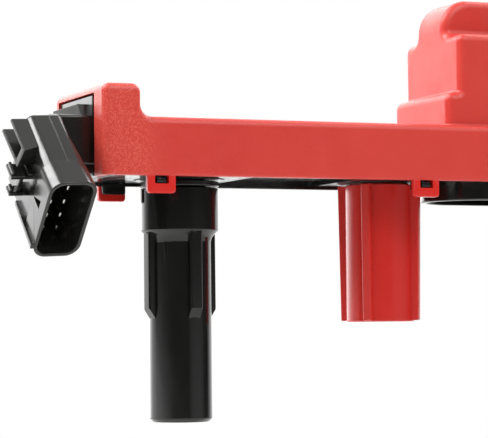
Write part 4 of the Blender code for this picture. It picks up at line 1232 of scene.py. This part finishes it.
def lead_strip():
    """The flat leads, side by side in one strip with grooves between them."""
    low, high = box_of("lead_ribbon")
    strip = block(low, high, "lead_strip")
    pitch = (high.y - low.y) / LEADS
    for i in range(1, LEADS):
        y = low.y + i * pitch
        cut(strip, block((low.x - OVERCUT, y - GROOVE_HALF, high.z - GROOVE_DEPTH),
                         (high.x + OVERCUT, y + GROOVE_HALF, high.z + OVERCUT)))
    hand_over(strip, "tinned_contact", "lead_ribbon")


def transformer():
    """The core with a window on each side of its middle leg, and the winding around that leg."""
    low, high = box_of("transformer_core")
    centre = (low.x + high.x) / 2
    core_side = (high.y - low.y) / 2 + CLEARANCE
    core = block(low, high, "ferrite_core")
    for end in BOTH_SIDES:
        left, right = span(end, CORE_LEG, (high.x - low.x) / 2 - CORE_LEG)
        cut(core, block((centre + left, -HALF_DEPTH, low.z + CORE_LEG),
                        (centre + right, HALF_DEPTH, high.z - CORE_LEG)))
    round_edges(core, is_outer_corner, SOFT_EASE, 3)
    hand_over(core, "ferrite", "transformer_core")
    low, high = box_of("transformer_winding")
    winding = block(low, high, "copper_pack")
    round_edges(winding, is_upright, PACK_CORNER, 6)
    pitch = (high.z - low.z) / PACK_TURNS
    for i in range(1, 2 * PACK_TURNS):
        divide(winding, (0, 0, low.z + pitch * i / 2), (0, 0, 1))
    pick(winding, "VERT", lambda v: near((v.co.z - low.z) % pitch, 0, pitch))
    bpy.ops.transform.shrink_fatten(value=-PACK_BULGE)
    close_edit(winding)
    leg = CORE_LEG + CLEARANCE
    cut(winding, block((centre - leg, -core_side, 0), (centre + leg, core_side, CROWN_TOP)))
    hand_over(winding, "copper_winding", "transformer_winding")


def electronics():
    """Board, leads, transformer, capacitor and power module."""
    rounded_case("circuit_board", "driver_board", "circuit_board", corner=(0.0015, 5), ease=(0.0001, 1))
    lead_strip()
    transformer()
    rounded_case("storage_capacitor", "film_capacitor", "capacitor_case",
                 corner=(0.0020, 6), ease=(0.0012, 5))
    rounded_case("power_module", "switch_module", "black_plastic", corner=(0.0010, 4), ease=(0.0006, 3))


# Camera, lamps, room and floor


def stand(thing, place, right, up, back):
    """Places a camera or lamp by the directions of its own three axes."""
    turn = Matrix((right, up, back)).transposed().to_4x4()
    thing.matrix_world = Matrix.Translation(place) @ turn


def photo_camera():
    """The camera at the photograph's viewing angle."""
    ahead = Vector((math.sin(CAMERA_YAW), math.cos(CAMERA_YAW), 0))
    forward = ahead * math.cos(CAMERA_PITCH) + Vector((0, 0, math.sin(CAMERA_PITCH)))
    level = Vector((math.cos(CAMERA_YAW), -math.sin(CAMERA_YAW), 0))
    upright = level.cross(forward)
    right = level * math.cos(CAMERA_ROLL) + upright * math.sin(CAMERA_ROLL)
    up = upright * math.cos(CAMERA_ROLL) - level * math.sin(CAMERA_ROLL)
    bpy.ops.object.camera_add()
    camera = bpy.context.object
    stand(camera, CAMERA_PLACE, right, up, -forward)
    camera.data.lens = CAMERA_LENS
    camera.data.sensor_width = 36
    camera.data.sensor_fit = "HORIZONTAL"
    camera.data.clip_start = 0.01
    camera.data.clip_end = 20
    bpy.context.scene.camera = camera


def soft_lamp(name, place, target, width, length, along, power):
    """A softbox that faces a target, with its length along a direction."""
    bpy.ops.object.light_add(type="AREA")
    lamp = bpy.context.object
    lamp.name = name
    back = (Vector(place) - Vector(target)).normalized()
    across = Vector(along).cross(back).normalized()
    stand(lamp, place, across, back.cross(across), back)
    lamp.data.shape = "ELLIPSE"
    lamp.data.size = width
    lamp.data.size_y = length
    lamp.data.energy = power


def white_room():
    """A white room, plain white to the camera and uneven to the object.

    It is bright above and behind, with a window at the back, and dark at eye level elsewhere. The light from
    behind is held back, but not in reflections. Low down, a pale table reaches round the left and a faint
    glow stands at the right.
    """
    room = bpy.data.worlds.new("white_room")
    bpy.context.scene.world = room
    room.use_nodes = True
    direction = add_node(room, "TexCoord"), "Generated"
    height = add_node(room, "SeparateXYZ", Vector=direction), "Z"
    path = add_node(room, "LightPath")

    def toward(*way):
        return add_node(room, "VectorMath", operation="DOT_PRODUCT", i0=direction, i1=way), "Value"

    front = toward(-0.25, -0.97, 0.0)
    low_down = soft_ramp(room, height, 0.30, 0.75, 1.0, 0.0)
    dark = calculate(room, "MULTIPLY", soft_ramp(room, front, -0.75, -0.25), low_down)
    ceiling = soft_ramp(room, height, 0.45, 0.90, 1.50, 0.90)
    window = soft_ramp(room, toward(-0.12, 0.86, 0.50), 0.70, 1.0, 0.0, 2.4)
    share = soft_ramp(room, front, -0.30, 0.05, 0.28, 1.0)
    kept = calculate(room, "MAXIMUM", share, (path, "Is Glossy Ray"))
    bright = calculate(room, "MULTIPLY", calculate(room, "ADD", ceiling, window), kept)
    walls = ramp(room, dark, 0.0, 1.0, bright, 0.08)
    over_edge = calculate(room, "MULTIPLY_ADD", toward(-0.383, -0.924, 0.0), 0.040, height)
    table = calculate(room, "MULTIPLY", soft_ramp(room, over_edge, -0.020, -0.002, 1.0, 0.0),
                      soft_ramp(room, toward(-0.924, 0.383, 0.0), 0.10, 0.95, 0.0, 2.0))
    glow = calculate(room, "MULTIPLY", soft_ramp(room, height, -0.03, 0.06, 1.0, 0.0),
                     soft_ramp(room, toward(0.676, -0.737, 0.0), 0.78, 1.0, 0.0, 0.65))
    level = calculate(room, "MAXIMUM", walls, calculate(room, "MAXIMUM", glow, table))
    lit = add_node(room, "Background", Color=(1, 1, 1, 1), Strength=level)
    seen = add_node(room, "Background", Color=(1, 1, 1, 1), Strength=1.0)
    either = add_node(room, "MixShader", Fac=(path, "Is Camera Ray"), i1=(lit, "Background"),
                      i2=(seen, "Background"))
    show(room, either, "World Output")


def pale_floor():
    """A pale floor that keeps the object's shadow, fades to white further out and shows from above only."""
    bpy.ops.mesh.primitive_circle_add(vertices=96, radius=FLOOR_RADIUS, fill_type="NGON",
                                      location=(0, 0, FLOOR_LEVEL))
    floor = settle(bpy.context.object)
    floor.name = "pale_floor"
    pale = moulded("pale_floor", dark=(0.80, 0.80, 0.79), light=(0.84, 0.84, 0.83), gloss=(0.6, 0.8),
                   grain=300.0, depth=0.0001, cloud=3.0)
    outward = add_node(pale, "VectorMath", operation="LENGTH", Vector=place_on(pale))
    fade = soft_ramp(pale, (outward, "Value"), 0.30, 0.90)
    path = add_node(pale, "LightPath")
    seen = calculate(pale, "MULTIPLY", fade, (path, "Is Camera Ray"))
    matt = pale.node_tree.nodes["Principled BSDF"]
    white = add_node(pale, "Emission", Strength=1.0)
    blend = add_node(pale, "MixShader", Fac=seen, i1=(matt, "BSDF"), i2=(white, "Emission"))
    side = add_node(pale, "NewGeometry")
    clear = add_node(pale, "BsdfTransparent")
    one_way = add_node(pale, "MixShader", Fac=(side, "Backfacing"), i1=(blend, "Shader"), i2=(clear, "BSDF"))
    show(pale, one_way, "Material Output")
    dress(floor, pale)


def studio():
    """Three softboxes, the floor and the room."""
    soft_lamp("key_softbox", place=(-0.80, 0.23, 0.85), target=(-0.12, 0, 0.03), width=0.30, length=1.00,
              along=(0.4, -0.6, 0.6), power=11.5)
    soft_lamp("front_softbox", place=(0.05, -0.80, 0.85), target=(-0.08, 0, 0.03), width=0.60, length=0.60,
              along=(1, 0, 0), power=4.4)
    soft_lamp("top_softbox", place=(0.60, 0.22, 0.85), target=(-0.10, 0, 0.05), width=0.45, length=0.45,
              along=(1, 0, 0), power=3.5)
    pale_floor()
    white_room()
    bpy.context.scene.view_settings.view_transform = "Standard"


dress_cad_nodes()
top_cover()
base_plate()
plug_boots()
mounting_pillars()
coil_pieces()
connector()
connector_pins()
electronics()
for plug in PLUGS:
    contact_spring(plug)
photo_camera()
studio()
